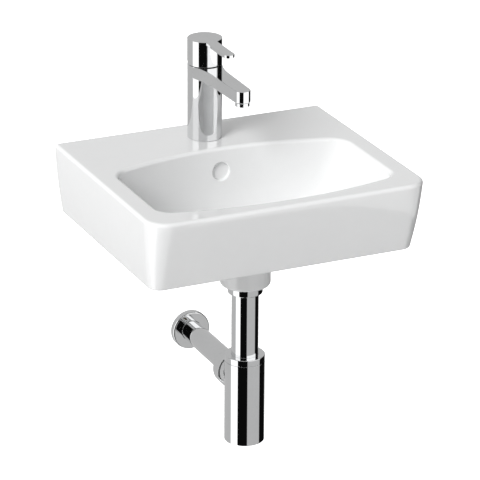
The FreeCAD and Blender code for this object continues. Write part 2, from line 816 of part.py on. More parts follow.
def make_trap_body():
    cup = turned("trap_cup", [
        ("0", "0"),
        ("trap_radius", "0"),
        ("trap_radius", trap_body_height),
        ("0", trap_body_height),
    ], {"trap_round": [1]})
    place(cup, **on_waste(trap_bottom))
    outlet = {"y": waste_y, "z": outlet_level, "rotation": TO_THE_WALL}
    boss = cylinder("outlet_boss", "outlet_boss_radius", "outlet_boss_reach", **outlet)
    spigot = cylinder("outlet_spigot", "outlet_spigot_radius", "outlet_spigot_reach", **outlet)
    thread_bottom = f"{trap_body_height} - trap_thread_length"
    thread_radius = "trap_radius - trap_thread_wall"
    hollow_radius = "trap_radius - trap_wall"
    hollow = turned("trap_hollow", [
        ("0", "trap_floor"),
        (hollow_radius, "trap_floor"),
        (hollow_radius, f"{thread_bottom} - trap_thread_wall + trap_wall"),
        (thread_radius, thread_bottom),
        (thread_radius, f"{trap_body_height} + overrun"),
        ("0", f"{trap_body_height} + overrun"),
    ])
    place(hollow, **on_waste(trap_bottom))
    bore = cylinder("outlet_bore", "sleeve_radius + seat_clearance", "outlet_spigot_reach + overrun", **outlet)
    solid = fuse("trap_solid", [cup, boss, spigot])
    keep(cut("trap_body", solid, fuse("trap_inside", [hollow, bore])), "trap_body")


def make_outlet():
    def toward_wall(start):
        return {"y": start, "z": outlet_level, "rotation": TO_THE_WALL}

    sleeve_fit = "sleeve_radius + seat_clearance"
    thread = "outlet_spigot_radius + seat_clearance"
    nut_length = "outlet_spigot_reach - outlet_boss_reach + outlet_seal_thickness + outlet_nut_lip"
    nut = turned("outlet_nut", [
        (thread, "0"),
        ("outlet_nut_radius", "0"),
        ("outlet_nut_radius", nut_length),
        (sleeve_fit, nut_length),
        (sleeve_fit, f"{nut_length} - outlet_nut_lip"),
        (thread, f"{nut_length} - outlet_nut_lip"),
    ], {"outlet_nut_round": [2]})
    keep(place(nut, **toward_wall(f"{waste_y} + outlet_boss_reach")), "outlet_nut")
    washer("outlet_seal", "sleeve_radius + running_clearance", "outlet_spigot_radius", "outlet_seal_thickness",
           **toward_wall(f"{waste_y} + outlet_spigot_reach"))
    washer("outlet_sleeve", "wall_tube_radius + seat_clearance", "sleeve_radius",
           "waste_distance - outlet_boss_reach - sleeve_end",
           **toward_wall(f"{waste_y} + outlet_boss_reach"))
    tube_length = "wall_tube_start + wall_tube_stub"
    tube = turned("wall_tube", [
        ("wall_tube_bore_radius", "0"),
        ("wall_tube_radius", "0"),
        ("wall_tube_radius", f"{tube_length} - wall_tube_end_length"),
        ("wall_tube_end_radius", f"{tube_length} - wall_tube_end_length"),
        ("wall_tube_end_radius", tube_length),
        ("wall_tube_bore_radius", tube_length),
    ])
    keep(place(tube, **toward_wall("-wall_tube_start")), "wall_tube")
    tube_fit = "wall_tube_radius + seat_clearance"
    rosette = turned("wall_rosette", [
        (tube_fit, "0"),
        ("rosette_radius", "0"),
        ("rosette_radius", "rosette_height"),
        ("rosette_radius - rosette_wall", "rosette_height"),
        ("rosette_radius - rosette_wall", "rosette_wall"),
        (tube_fit, "rosette_wall"),
    ], {"rosette_round": [1]})
    keep(place(rosette, **toward_wall("-rosette_height")), "wall_rosette")
    washer("rosette_seal", "wall_tube_radius + running_clearance", "rosette_seal_radius",
           "rosette_seal_thickness", **toward_wall("rosette_wall - rosette_height"))


# Tap

tap_y = "-tap_distance"
body_top = "deck_height + tap_body_top"
cartridge_bottom = f"{body_top} - cartridge_drop"
cartridge_shoulder = f"{body_top} - cartridge_shoulder_drop"
cartridge_top = f"{body_top} - cartridge_neck_drop"
lever_pin_level = f"{body_top} + pin_rise"
# The hot and the cold inlet lie at these angles about the tap's axis.
inlet_angles = (math.radians(30), math.radians(150))


def on_tap(height, across="0", along="0"):
    return {"x": across, "y": f"{tap_y} + {along}", "z": height}


def spout_plan(height):
    """The spout from above: it flares into the body and ends in half a circle."""
    root_half = math.sqrt(size.tap_radius**2 - size.spout_root_reach**2)
    root = (root_half, -size.spout_root_reach)
    neck = (size.spout_neck_half_width, -size.spout_neck_reach)
    chord = math.dist(root, neck)
    inward_x = (neck[1] - root[1]) / chord
    inward_y = (root[0] - neck[0]) / chord
    middle = ((root[0] + neck[0]) / 2 + inward_x * size.spout_flare_sag,
              (root[1] + neck[1]) / 2 - inward_y * size.spout_flare_sag)
    tip = (size.spout_tip_radius, -size.spout_reach)

    def point(side, place_on_plan):
        return FreeCAD.Vector(side * place_on_plan[0], place_on_plan[1], height)

    return Part.Wire([
        line_edge(point(-1, root), point(1, root)),
        arc_edge(point(1, root), point(1, middle), point(1, neck)),
        line_edge(point(1, neck), point(1, tip)),
        arc_edge(point(1, tip), FreeCAD.Vector(0, -size.spout_reach - size.spout_tip_radius, height), point(-1, tip)),
        line_edge(point(-1, tip), point(-1, neck)),
        arc_edge(point(-1, neck), point(-1, middle), point(-1, root)),
    ])


def rounded_slab(wire, thickness, top_round, bottom_round, root):
    """A plate of one plan whose edges, but those at its root, are rounded."""
    slab = Part.Face(wire).extrude(Z * thickness)
    bottom = slab.BoundBox.ZMin

    def free_edges(level):
        level_edges = edges_where(slab, lambda point: abs(point.z - level) < size.running_clearance)
        return [edge for edge in level_edges if edge_middle(edge).y < -root - size.running_clearance]

    slab = slab.makeFillet(bottom_round, free_edges(bottom))
    return slab.makeFillet(top_round, free_edges(bottom + thickness))


def tap_body_shape():
    """The tap's body about its own axis, with the deck at Z = 0."""
    bottom = size.tap_gasket_thickness
    top = size.tap_body_top
    column = upright(size.tap_radius, bottom, top)
    rings = [edge for edge in column.Edges if isinstance(edge.Curve, Part.Circle)]
    column = column.makeFillet(size.tap_edge_round, rings)
    spout_bottom = top - size.spout_height
    spout = rounded_slab(spout_plan(spout_bottom), size.spout_height, size.spout_top_round,
                         size.spout_bottom_round, size.spout_root_reach)
    shoulder = top - size.cartridge_shoulder_drop
    cavity_floor = top - size.cartridge_drop - size.cartridge_seal_height
    channel_level = spout_bottom + size.spout_channel_floor + size.spout_channel_radius
    channel_start = size.cartridge_radius - size.overrun
    tools = [
        upright(size.cartridge_radius + size.seat_clearance, cavity_floor, shoulder),
        upright(size.cartridge_nut_radius + size.seat_clearance, shoulder, top + size.overrun),
        Part.makeCylinder(size.spout_channel_radius, size.spout_reach - channel_start,
                          FreeCAD.Vector(0, -channel_start, channel_level), -Y),
        upright(size.aerator_radius + size.seat_clearance, spout_bottom - size.overrun,
                spout_bottom + size.aerator_socket_depth, y=-size.spout_reach),
        upright(size.stud_radius + size.running_clearance, bottom - size.overrun,
                bottom + size.stud_socket_depth, y=-size.stud_offset),
    ]
    for angle in inlet_angles:
        across = size.cartridge_seal_ring * math.cos(angle)
        along = size.cartridge_seal_ring * math.sin(angle)
        tools.append(upright(size.inlet_hole_radius, bottom - size.overrun,
                             bottom + size.inlet_hole_depth, across, along))
        tools.append(upright(size.inlet_channel_radius, bottom, cavity_floor + size.overrun, across, along))
    return column.fuse(spout).cut(tools)


def make_tap():
    from_shape("tap_body", tap_body_shape(), y=-size.tap_distance, z=size.deck_height)
    washer("tap_base_gasket", "tap_gasket_bore_radius", "tap_gasket_radius", "tap_gasket_thickness",
           **on_tap("deck_height"))
    washer("seam_ring", "cartridge_nut_radius + seat_clearance", "seam_ring_radius", "seam_ring_height",
           **on_tap(body_top))
    make_aerator()
    make_tap_fixing()
    make_cartridge()


def make_aerator():
    on_spout_end = "-spout_reach"
    spout_bottom = f"{body_top} - spout_height"
    socket_roof = f"{spout_bottom} + aerator_socket_depth"
    housing_bottom = f"{spout_bottom} - aerator_drop"
    seal_bottom = f"{socket_roof} - aerator_seal_thickness"
    washer("aerator_housing", "aerator_bore_radius", "aerator_radius", f"({seal_bottom}) - ({housing_bottom})",
           {"tap_edge_round": [1]}, **on_tap(housing_bottom, along=on_spout_end))
    washer("aerator_seal", "aerator_seal_bore_radius", "aerator_radius - running_clearance",
           "aerator_seal_thickness", **on_tap(seal_bottom, along=on_spout_end))
    insert_bottom = f"{housing_bottom} + aerator_insert_rise"
    insert_height = f"({seal_bottom}) - ({insert_bottom})"
    core = cylinder("aerator_core", "aerator_bore_radius - running_clearance", insert_height,
                    **on_tap(insert_bottom, along=on_spout_end))
    jets = []
    for ring, count in enumerate((1, 6)):
        for step in range(count):
            angle = 2 * math.pi * step / count
            across = f"aerator_jet_spacing * {ring * math.cos(angle):.9f}"
            along = f"{on_spout_end} + aerator_jet_spacing * {ring * math.sin(angle):.9f}"
            jets.append(cylinder(f"aerator_jet_{ring}_{step}", "aerator_jet_radius",
                                 f"{insert_height} + 2 * overrun",
                                 **on_tap(f"{insert_bottom} - overrun", across, along)))
    keep(cut("aerator_insert", core, fuse("aerator_jets", jets)), "aerator_insert")


def horseshoe(label, thickness, bottom):
    """A clamping plate that is open to the rear for the two supply hoses."""
    plate = cylinder(label + "_plate", "clamp_radius", thickness, **on_tap(bottom))
    slot = block(label + "_slot", "clamp_slot_width", "clamp_radius + stud_offset", f"{thickness} + 2 * overrun",
                 **on_tap(f"{bottom} - overrun", "-clamp_slot_width / 2", "clamp_land - stud_offset"))
    hole = cylinder(label + "_hole", "stud_radius + seat_clearance", f"{thickness} + 2 * overrun",
                    **on_tap(f"{bottom} - overrun", along="-stud_offset"))
    keep(cut(label, plate, fuse(label + "_openings", [slot, hole])), label)


def make_tap_fixing():
    rubber_bottom = "deck_height - deck_wall - clamp_rubber_thickness"
    plate_bottom = f"{rubber_bottom} - clamp_plate_thickness"
    nut_bottom = f"{plate_bottom} - tap_nut_height"
    horseshoe("tap_rubber_washer", "clamp_rubber_thickness", rubber_bottom)
    horseshoe("tap_steel_washer", "clamp_plate_thickness", plate_bottom)
    stud_bottom = "deck_height - stud_tail"
    stud_top = "deck_height + tap_gasket_thickness + stud_socket_depth - body_clearance"
    stud = cylinder("tap_stud", "stud_radius", f"({stud_top}) - ({stud_bottom})",
                    **on_tap(stud_bottom, along="-stud_offset"))
    keep(stud, "tap_stud")
    hexagon = document.addObject("Part::Prism", "tap_nut_hexagon")
    hexagon.Polygon = 6
    bind(hexagon, {"Circumradius": "tap_nut_flats / sqrt(3)", "Height": "tap_nut_height"})
    place(hexagon, **on_tap(nut_bottom, along="-stud_offset"))
    thread = cylinder("tap_nut_thread", "stud_radius + running_clearance", "tap_nut_height + 2 * overrun",
                      **on_tap(f"{nut_bottom} - overrun", along="-stud_offset"))
    keep(cut("tap_nut", hexagon, thread), "tap_nut")


def make_cartridge():
    shoulder = "cartridge_drop - cartridge_shoulder_drop"
    top = "cartridge_drop - cartridge_neck_drop"
    shaft_fit = "cartridge_shaft_radius + running_clearance"
    shaft_floor = f"{top} - cartridge_shaft_length - body_clearance"
    core = turned("cartridge_core", [
        ("0", "0"),
        ("cartridge_radius", "0"),
        ("cartridge_radius", shoulder),
        ("cartridge_neck_radius", shoulder),
        ("cartridge_neck_radius", top),
        (shaft_fit, top),
        (shaft_fit, shaft_floor),
        ("0", shaft_floor),
    ])
    place(core, **on_tap(cartridge_bottom))
    port_start = "cartridge_radius + overrun"
    port_end = "cartridge_shaft_radius + cartridge_port_wall"
    port_level = f"{body_top} - spout_height + spout_channel_floor + spout_channel_radius"
    port = cylinder("cartridge_port", "cartridge_port_radius", f"({port_start}) - ({port_end})",
                    rotation=TO_THE_WALL, **on_tap(port_level, along=f"-({port_start})"))
    keep(cut("cartridge_body", core, port), "cartridge_body")
    washer("cartridge_nut", "cartridge_nut_bore_radius", "cartridge_nut_radius",
           f"({cartridge_top}) - ({cartridge_shoulder})", **on_tap(cartridge_shoulder))

    seals = []
    for number, angle in enumerate(inlet_angles):
        centre = on_tap(f"{cartridge_bottom} - cartridge_seal_height",
                        f"cartridge_seal_ring * {math.cos(angle):.9f}",
                        f"cartridge_seal_ring * {math.sin(angle):.9f}")
        disc = cylinder(f"seal_disc_{number}", "cartridge_seal_radius", "cartridge_seal_height", **centre)
        hole = cylinder(f"seal_hole_{number}", "cartridge_seal_bore_radius", "cartridge_seal_height", **centre)
        seals.append(cut(f"seal_{number}", disc, hole))
    keep(group("cartridge_seals", seals), "cartridge_seals")


# Handle, on the rotor that turns in the cartridge


def make_rotor():
    disc_bottom = f"{cartridge_top} + body_clearance"
    shaft_length = "cartridge_shaft_length + body_clearance"
    disc_top = f"{shaft_length} + rotor_thickness"
    disc = turned("rotor_disc", [
        ("0", "0"),
        ("cartridge_shaft_radius", "0"),
        ("cartridge_shaft_radius", shaft_length),
        ("rotor_radius", shaft_length),
        ("rotor_radius", disc_top),
        ("0", disc_top),
    ])
    place(disc, **on_tap(f"{cartridge_top} - cartridge_shaft_length"))
    ear_bottom = f"{disc_bottom} + rotor_thickness / 2"
    ear_height = f"({lever_pin_level}) + ear_above_pin - ({ear_bottom})"
    ears = [
        block("rotor_left_ear", "ear_outside - ear_inside", "2 * ear_half_depth", ear_height,
              **on_tap(ear_bottom, "-ear_outside", "-ear_half_depth")),
        block("rotor_right_ear", "ear_outside - ear_inside", "2 * ear_half_depth", ear_height,
              **on_tap(ear_bottom, "ear_inside", "-ear_half_depth")),
    ]
    across = FreeCAD.Rotation(Y, 90)
    pin_hole = cylinder("rotor_pin_hole", "pin_radius + running_clearance", "2 * (ear_outside + overrun)",
                        rotation=across, **on_tap(lever_pin_level, "-(ear_outside + overrun)"))
    keep(cut("cartridge_rotor", fuse("rotor_solid", [disc] + ears), pin_hole), "cartridge_rotor")
    pin = cylinder("lever_pin", "pin_radius", "2 * ear_outside",
                   rotation=across, **on_tap(lever_pin_level, "-ear_outside"))
    keep(pin, "lever_pin")


def make_stem():
    across = FreeCAD.Rotation(Y, 90)
    rod = cylinder("stem_rod", "stem_radius", "stem_above_pin", **on_tap(lever_pin_level))
    eye = cylinder("stem_eye", "ear_half_depth", "2 * stem_half_width",
                   rotation=across, **on_tap(lever_pin_level, "-stem_half_width"))
    hole = cylinder("stem_pin_hole", "pin_radius + running_clearance", "2 * (stem_half_width + overrun)",
                    rotation=across, **on_tap(lever_pin_level, "-(stem_half_width + overrun)"))
    keep(cut("cartridge_stem", fuse("stem_solid", [rod, eye]), hole), "cartridge_stem")


def lever_plan(height):
    """The flat lever from above, with a round tip."""
    half = size.lever_half_width
    tip_y = -size.lever_reach
    tip = FreeCAD.Vector(0, tip_y - half, height)
    left, right = [FreeCAD.Vector(side * half, tip_y, height) for side in (-1, 1)]
    left_root, right_root = [FreeCAD.Vector(side * half, 0, height) for side in (-1, 1)]
    return Part.Wire([
        line_edge(left_root, right_root),
        line_edge(right_root, right),
        arc_edge(right, tip, left),
        line_edge(left, left_root),
    ])


def handle_shape():
    """The handle about the tap's axis, with its lower edge at Z = 0."""
    height = size.handle_height
    pin = size.pin_rise - size.handle_gap
    drum = upright(size.handle_radius, 0, height)
    top_ring = edges_where(drum, lambda point: abs(point.z - height) < size.running_clearance)
    drum = drum.makeFillet(size.handle_round, top_ring)
    lever = rounded_slab(lever_plan(height - size.lever_thickness), size.lever_thickness,
                         size.lever_round, size.lever_round, 0)
    roof = height - size.handle_roof
    boss_bottom = pin + size.handle_boss_above_pin
    hollow = upright(size.handle_bore_radius, -size.overrun, roof)
    hollow = hollow.cut(upright(size.handle_boss_radius, boss_bottom, roof))
    level = height - size.handle_button_drop
    reach = size.handle_radius + size.overrun
    rear_rise = reach * math.tan(math.radians(size.handle_back_angle))
    wedge = Part.makePolygon([
        FreeCAD.Vector(-reach, 0, 0), FreeCAD.Vector(-reach, reach, 0),
        FreeCAD.Vector(-reach, reach, rear_rise), FreeCAD.Vector(-reach, 0, 0)])
    tools = [
        hollow,
        Part.Face(wedge).extrude(X * 2 * reach),
        upright(size.stem_radius + size.running_clearance, boss_bottom - size.overrun,
                pin + size.stem_above_pin + size.seat_clearance),
        Part.makeCylinder(size.handle_screw_radius + size.running_clearance,
                          size.handle_boss_radius + size.overrun, FreeCAD.Vector(0, 0, level), -Y),
        Part.makeCylinder(size.handle_button_radius + size.running_clearance,
                          reach - size.handle_bore_radius + size.overrun,
                          FreeCAD.Vector(0, size.overrun - size.handle_bore_radius, level), -Y),
    ]
    return drum.fuse(lever).cut(tools)


def make_handle():
    bottom = size.deck_height + size.tap_body_top + size.handle_gap
    from_shape("tap_handle", handle_shape(), y=-size.tap_distance, z=bottom)
    level = f"{body_top} + handle_gap + handle_height - handle_button_drop"
    screw_start = "stem_radius + handle_screw_length + running_clearance"
    screw = cylinder("handle_screw", "handle_screw_radius", "handle_screw_length",
                     rotation=TO_THE_WALL, **on_tap(level, along=f"-({screw_start})"))
    keep(screw, "handle_screw")
    button = cylinder("handle_button", "handle_button_radius", "handle_button_length",
                      rotation=TO_THE_WALL, **on_tap(level, along="-(handle_radius - seat_clearance)"))
    keep(button, "handle_button")


make_waste()
make_plug()
make_trap()
make_outlet()
make_tap()
make_rotor()
make_stem()
make_handle()
document.recompute()

for thing in document.Objects:
    if {"Invalid", "Error"} & set(thing.State):
        raise RuntimeError(f"{thing.Label} did not build: {thing.State}")
for piece in pieces:
    if piece.Shape.isNull() or not piece.Shape.isValid():
        raise RuntimeError(f"{piece.Label} has no valid shape")

os.makedirs("parts", exist_ok=True)
for piece in pieces:
    piece.Shape.exportStep(f"parts/{piece.Label}.step")
    print(f"{piece.Label}: {len(piece.Shape.Solids)} solid, {piece.Shape.Volume:.0f} mm3")
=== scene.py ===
# %% [markdown]
# # A small wall-hung washbasin, dressed for its portrait
# The frame below holds every piece as a plain solid, already in its place and at its
# real size. This lesson gives the pieces that show a finer mesh, and all of them a
# finish. We load the frame first, because every later size is read from it.

# %% Load the frame and note its size
import json
import math

import bmesh
import bpy
import numpy as np
from mathutils import Matrix, Vector
from mathutils.bvhtree import BVHTree


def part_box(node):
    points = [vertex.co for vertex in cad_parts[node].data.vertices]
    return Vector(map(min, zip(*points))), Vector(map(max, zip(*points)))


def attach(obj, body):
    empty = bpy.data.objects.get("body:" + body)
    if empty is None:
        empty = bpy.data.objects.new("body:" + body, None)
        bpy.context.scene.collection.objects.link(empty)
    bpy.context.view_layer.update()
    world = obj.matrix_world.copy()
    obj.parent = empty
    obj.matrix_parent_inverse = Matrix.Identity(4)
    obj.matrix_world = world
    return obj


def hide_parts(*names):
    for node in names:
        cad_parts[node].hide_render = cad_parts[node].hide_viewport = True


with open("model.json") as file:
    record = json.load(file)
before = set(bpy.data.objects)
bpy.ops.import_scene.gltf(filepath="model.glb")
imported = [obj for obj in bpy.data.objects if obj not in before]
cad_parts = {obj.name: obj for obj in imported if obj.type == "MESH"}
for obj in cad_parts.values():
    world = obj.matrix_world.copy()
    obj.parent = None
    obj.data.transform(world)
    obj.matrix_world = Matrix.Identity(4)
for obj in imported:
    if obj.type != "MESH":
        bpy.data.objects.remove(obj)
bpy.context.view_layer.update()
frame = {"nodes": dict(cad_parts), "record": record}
nodes = frame["nodes"]
slot_by_node = {item["node"]: item["material_slot"] for item in frame["record"]["subparts"]}
MM = 0.001
print("nodes in the frame:", len(nodes))

# %% [markdown]
# ## Camera
# The photograph was taken from the front left and from above with a long lens, so
# upright edges stay almost parallel. The place and angles come from fitting a pinhole
# camera to the basin's straight edges. A tiny roll keeps the deck's slope as it is in
# the picture.

# %% Place the camera
CAMERA_PLACE = Vector((-1.6577, -3.7558, 1.5283))
CAMERA_TURN = math.radians(24.831)
CAMERA_TILT = math.radians(21.82)
CAMERA_ROLL = math.radians(0.362)
CAMERA_LENS = 232.5
SENSOR_WIDTH = 36.0
CAMERA_REACH = 50.0


def camera_axes(turn, tilt, roll):
    """The right, up and forward directions of a camera that is turned, tilted and rolled."""
    level_forward = Vector((math.sin(turn), math.cos(turn), 0))
    forward = level_forward * math.cos(tilt) - Vector((0, 0, math.sin(tilt)))
    level_right = Vector((math.cos(turn), -math.sin(turn), 0))
    level_up = level_right.cross(forward)
    right = level_right * math.cos(roll) + level_up * math.sin(roll)
    up = level_up * math.cos(roll) - level_right * math.sin(roll)
    return right, up, forward


right, up, forward = camera_axes(CAMERA_TURN, CAMERA_TILT, CAMERA_ROLL)
camera_data = bpy.data.cameras.new("portrait_camera")
camera_data.lens = CAMERA_LENS
camera_data.sensor_width = SENSOR_WIDTH
camera_data.clip_end = CAMERA_REACH
camera = bpy.data.objects.new("portrait_camera", camera_data)
bpy.context.scene.collection.objects.link(camera)
axes = Matrix((right, up, -forward)).transposed().to_4x4()
camera.matrix_world = Matrix.Translation(CAMERA_PLACE) @ axes
bpy.context.scene.camera = camera
bpy.context.scene.view_settings.view_transform = "Standard"
print("camera looks along", [round(value, 3) for value in forward])

# %% [markdown]
# ## Fine variation, shared by every finish
# No real surface is perfectly even. Glaze is a touch thicker here and thinner there,
# chrome carries faint smudges from wiping, and rubber is dusty in places. All of that
# is slow noise mixed with fine noise, so one node group serves every material. It puts
# out a mask from 0 to 1 and a normal, and each material decides what they do.

# %% Node helpers and the shared group
FINE_SHARE = 0.35
NOISE_RANGE = (0.35, 0.65)


def add_node(tree, kind, **values):
    """Adds a node and sets its plain properties and its sockets by name."""
    node = tree.nodes.new(kind)
    for name, value in values.items():
        socket_name = name.replace("_", " ").title()
        if socket_name in node.inputs:
            node.inputs[socket_name].default_value = value
        else:
            setattr(node, name, value)
    return node


def live_socket(sockets, name):
    """The socket of a Mix node that is in use: the node holds one set for every data type."""
    return [socket for socket in sockets if socket.name == name and socket.enabled][0]


def mixed(tree, kind, factor, first, second):
    """The result of a Mix node. Each of its three inputs is a socket or a plain value."""
    node = add_node(tree, "ShaderNodeMix", data_type=kind)
    for name, given in (("Factor", factor), ("A", first), ("B", second)):
        socket = live_socket(node.inputs, name)
        if isinstance(given, bpy.types.NodeSocket):
            tree.links.new(given, socket)
        else:
            socket.default_value = given
    return live_socket(node.outputs, "Result")


def remapped(tree, source, **limits):
    """A socket's value moved from one range to another."""
    node = add_node(tree, "ShaderNodeMapRange", **limits)
    tree.links.new(source, node.inputs["Value"])
    return node.outputs["Result"]


def make_variation_group():
    """A group with a mask that mixes broad and fine noise, and a gently uneven normal."""
    tree = bpy.data.node_groups.new("surface_variation", "ShaderNodeTree")
    for name in ("Broad Scale", "Fine Scale", "Unevenness"):
        socket = tree.interface.new_socket(name, in_out="INPUT", socket_type="NodeSocketFloat")
        socket.min_value = 0
    tree.interface.new_socket("Mask", in_out="OUTPUT", socket_type="NodeSocketFloat")
    tree.interface.new_socket("Normal", in_out="OUTPUT", socket_type="NodeSocketVector")
    given = tree.nodes.new("NodeGroupInput")
    result = tree.nodes.new("NodeGroupOutput")
    place = add_node(tree, "ShaderNodeTexCoord")
    broad = add_node(tree, "ShaderNodeTexNoise", detail=3.0, roughness=0.5)
    fine = add_node(tree, "ShaderNodeTexNoise", detail=5.0, roughness=0.6)
    for noise, name in ((broad, "Broad Scale"), (fine, "Fine Scale")):
        tree.links.new(place.outputs["Object"], noise.inputs["Vector"])
        tree.links.new(given.outputs[name], noise.inputs["Scale"])
    blend = mixed(tree, "FLOAT", FINE_SHARE, broad.outputs["Fac"], fine.outputs["Fac"])
    spread = remapped(tree, blend, from_min=NOISE_RANGE[0], from_max=NOISE_RANGE[1])
    tree.links.new(spread, result.inputs["Mask"])
    bump = add_node(tree, "ShaderNodeBump", distance=MM)
    tree.links.new(given.outputs["Unevenness"], bump.inputs["Strength"])
    tree.links.new(spread, bump.inputs["Height"])
    tree.links.new(bump.outputs["Normal"], result.inputs["Normal"])
    return tree


variation_group = make_variation_group()
print("group sockets:", [item.name for item in variation_group.interface.items_tree])

# %% [markdown]
# ## Finishes
# Each finish below is one Principled shader with the shared variation on its colour and
# its roughness. The glaze is a bright, cool white under a clear layer. Where the basin
# meets the wall the maker leaves the clay bare, so the glaze material turns matte there.
# Chrome is a mirror with a barely uneven plate. Rubber, plastic, brass and steel differ
# in colour, in gloss and in how strong the variation is.

# %% Build a finish from a short description


def make_finish(name, dark, light, gloss, rough, metallic=0.0, broad=9.0, fine=160.0,
                unevenness=0.02, coat=0.0):
    """A material whose colour runs from dark to light and roughness from gloss to rough."""
    material = bpy.data.materials.new(name)
    material.use_nodes = True
    tree = material.node_tree
    shader = tree.nodes["Principled BSDF"]
    shader.inputs["Metallic"].default_value = metallic
    shader.inputs["Coat Weight"].default_value = coat
    variation = tree.nodes.new("ShaderNodeGroup")
    variation.node_tree = variation_group
    for socket_name, value in (("Broad Scale", broad), ("Fine Scale", fine), ("Unevenness", unevenness)):
        variation.inputs[socket_name].default_value = value
    mask = variation.outputs["Mask"]
    tree.links.new(mixed(tree, "RGBA", mask, (*dark, 1), (*light, 1)), shader.inputs["Base Color"])
    tree.links.new(remapped(tree, mask, to_min=gloss, to_max=rough), shader.inputs["Roughness"])
    tree.links.new(variation.outputs["Normal"], shader.inputs["Normal"])
    return material


finishes = {
    "glaze": make_finish("white_glaze", (0.845, 0.85, 0.852), (0.865, 0.87, 0.87), 0.05, 0.09,
                         coat=0.4, broad=4.0, fine=60.0, unevenness=0.012),
    "chrome": make_finish("chrome_plate", (0.74, 0.745, 0.75), (0.79, 0.795, 0.80), 0.02, 0.05,
                          metallic=1.0, broad=14.0, fine=220.0, unevenness=0.003),
    "rubber": make_finish("black_rubber", (0.012, 0.012, 0.012), (0.03, 0.03, 0.03), 0.55, 0.8,
                          fine=420.0, unevenness=0.15),
    "white_plastic": make_finish("white_plastic", (0.74, 0.74, 0.72), (0.82, 0.82, 0.80), 0.3, 0.42,
                                 fine=300.0, unevenness=0.06),
    "dark_plastic": make_finish("dark_plastic", (0.02, 0.02, 0.022), (0.04, 0.04, 0.042), 0.35, 0.5,
                                fine=300.0, unevenness=0.06),
    "grey_plastic": make_finish("grey_plastic", (0.20, 0.22, 0.25), (0.27, 0.29, 0.32), 0.35, 0.5,
                                fine=300.0, unevenness=0.06),
    "steel": make_finish("turned_steel", (0.46, 0.46, 0.47), (0.58, 0.58, 0.59), 0.22, 0.36,
                         metallic=1.0, fine=500.0, unevenness=0.05),
    "brass": make_finish("machined_brass", (0.58, 0.42, 0.18), (0.72, 0.55, 0.26), 0.2, 0.34,
                         metallic=1.0, fine=350.0, unevenness=0.05),
}
print("finishes:", sorted(finishes))

# %% [markdown]
# ## Bare clay against the wall
# The flat back of a basin is wiped free of glaze so that it doesn't stick in the kiln.
# A mask from the place of a point along Y finds that face, and mixes in a rougher,
# warmer white.

# %% Make the glaze stop at the back
BACK_BAND = 0.3 * MM
bare_clay = {"Base Color": (0.72, 0.70, 0.66, 1), "Roughness": 0.75}


def bare_back(material, back_y, width):
    """Turns a glazed material matte and warmer within a narrow band at the back."""
    tree = material.node_tree
    shader = tree.nodes["Principled BSDF"]
    place = add_node(tree, "ShaderNodeTexCoord")
    parts = add_node(tree, "ShaderNodeSeparateXYZ")
    tree.links.new(place.outputs["Object"], parts.inputs["Vector"])
    mask = remapped(tree, parts.outputs["Y"], from_min=back_y - width, from_max=back_y)
    for socket_name, bare in bare_clay.items():
        socket = shader.inputs[socket_name]
        glazed = socket.links[0].from_socket
        kind = "RGBA" if socket.type == "RGBA" else "FLOAT"
        tree.links.new(mixed(tree, kind, mask, glazed, bare), socket)


bare_back(finishes["glaze"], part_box("basin_body")[1].y - BACK_BAND, BACK_BAND)
print("the back face is matte")

# %% [markdown]
# ## Skins made of rings
# A basin is cast in one piece, and its skin runs without a break from the waste hole up
# the bowl, over the lip, across the deck, round the outer edge, down the apron and back
# underneath. One could cut it from a block, but soft edges would then be hard to keep
# clean. We lay level rings with the same number of points instead and skin them in
# order, so each edge gets exactly the round that its rings describe.

# %% Helpers for rings and skins
WELD_DISTANCE = 0.001 * MM
SHARP_ANGLE = math.radians(38)


def weave(work, ring, following):
    """Lays quads between two rings of corners."""
    for index, corner in enumerate(ring):
        beside = (index + 1) % len(ring)
        work.faces.new((corner, ring[beside], following[beside], following[index]))


def welded(work):
    """Joins corners that share a place and turns all faces outward."""
    bmesh.ops.remove_doubles(work, verts=work.verts, dist=WELD_DISTANCE)
    bmesh.ops.recalc_face_normals(work, faces=work.faces)
    return work


def skin_rings(rings, closed=False):
    """A bmesh of quads between rings that all have the same number of points."""
    work = bmesh.new()
    laid = [[work.verts.new(point) for point in ring] for ring in rings]
    for ring, following in zip(laid, laid[1:] + laid[:1] if closed else laid[1:]):
        weave(work, ring, following)
    return welded(work)


def capped_skin(rings):
    """A skin between rings whose first and last ring are closed by flat faces."""
    work = skin_rings(rings)
    for ring in (rings[0], rings[-1]):
        work.faces.new([work.verts.new(point) for point in ring])
    return welded(work)


def as_object(work, name):
    """A bmesh as an object in the scene."""
    mesh = bpy.data.meshes.new(name)
    work.to_mesh(mesh)
    work.free()
    made = bpy.data.objects.new(name, mesh)
    bpy.context.scene.collection.objects.link(made)
    return made


def finish_piece(work, name, material, body, replaced):
    """Turns a bmesh into a smooth shaded object that rides on a body and replaces CAD nodes."""
    for face in work.faces:
        face.smooth = True
    for edge in work.edges:
        edge.smooth = len(edge.link_faces) == 2 and edge.calc_face_angle(0) < SHARP_ANGLE
    piece = as_object(work, name)
    piece.data.materials.append(finishes[material])
    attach(piece, body)
    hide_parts(*replaced)
    print(name, "has", len(piece.data.polygons), "faces")


# %% [markdown]
# ## Level outlines
# The bowl has straight sides, bowed ends and round corners, and so has the outside once
# its bow is next to nothing. One function can draw both, with the same number of points
# for the same stretch, so a point on the bowl's corner always meets its partner on the
# outer corner.

# %% Draw an outline with a fixed number of points
REAR_POINTS, REAR_CORNER_POINTS, SIDE_POINTS, FRONT_CORNER_POINTS, FRONT_POINTS = 32, 14, 26, 16, 30
QUARTER_TURN = math.pi / 2


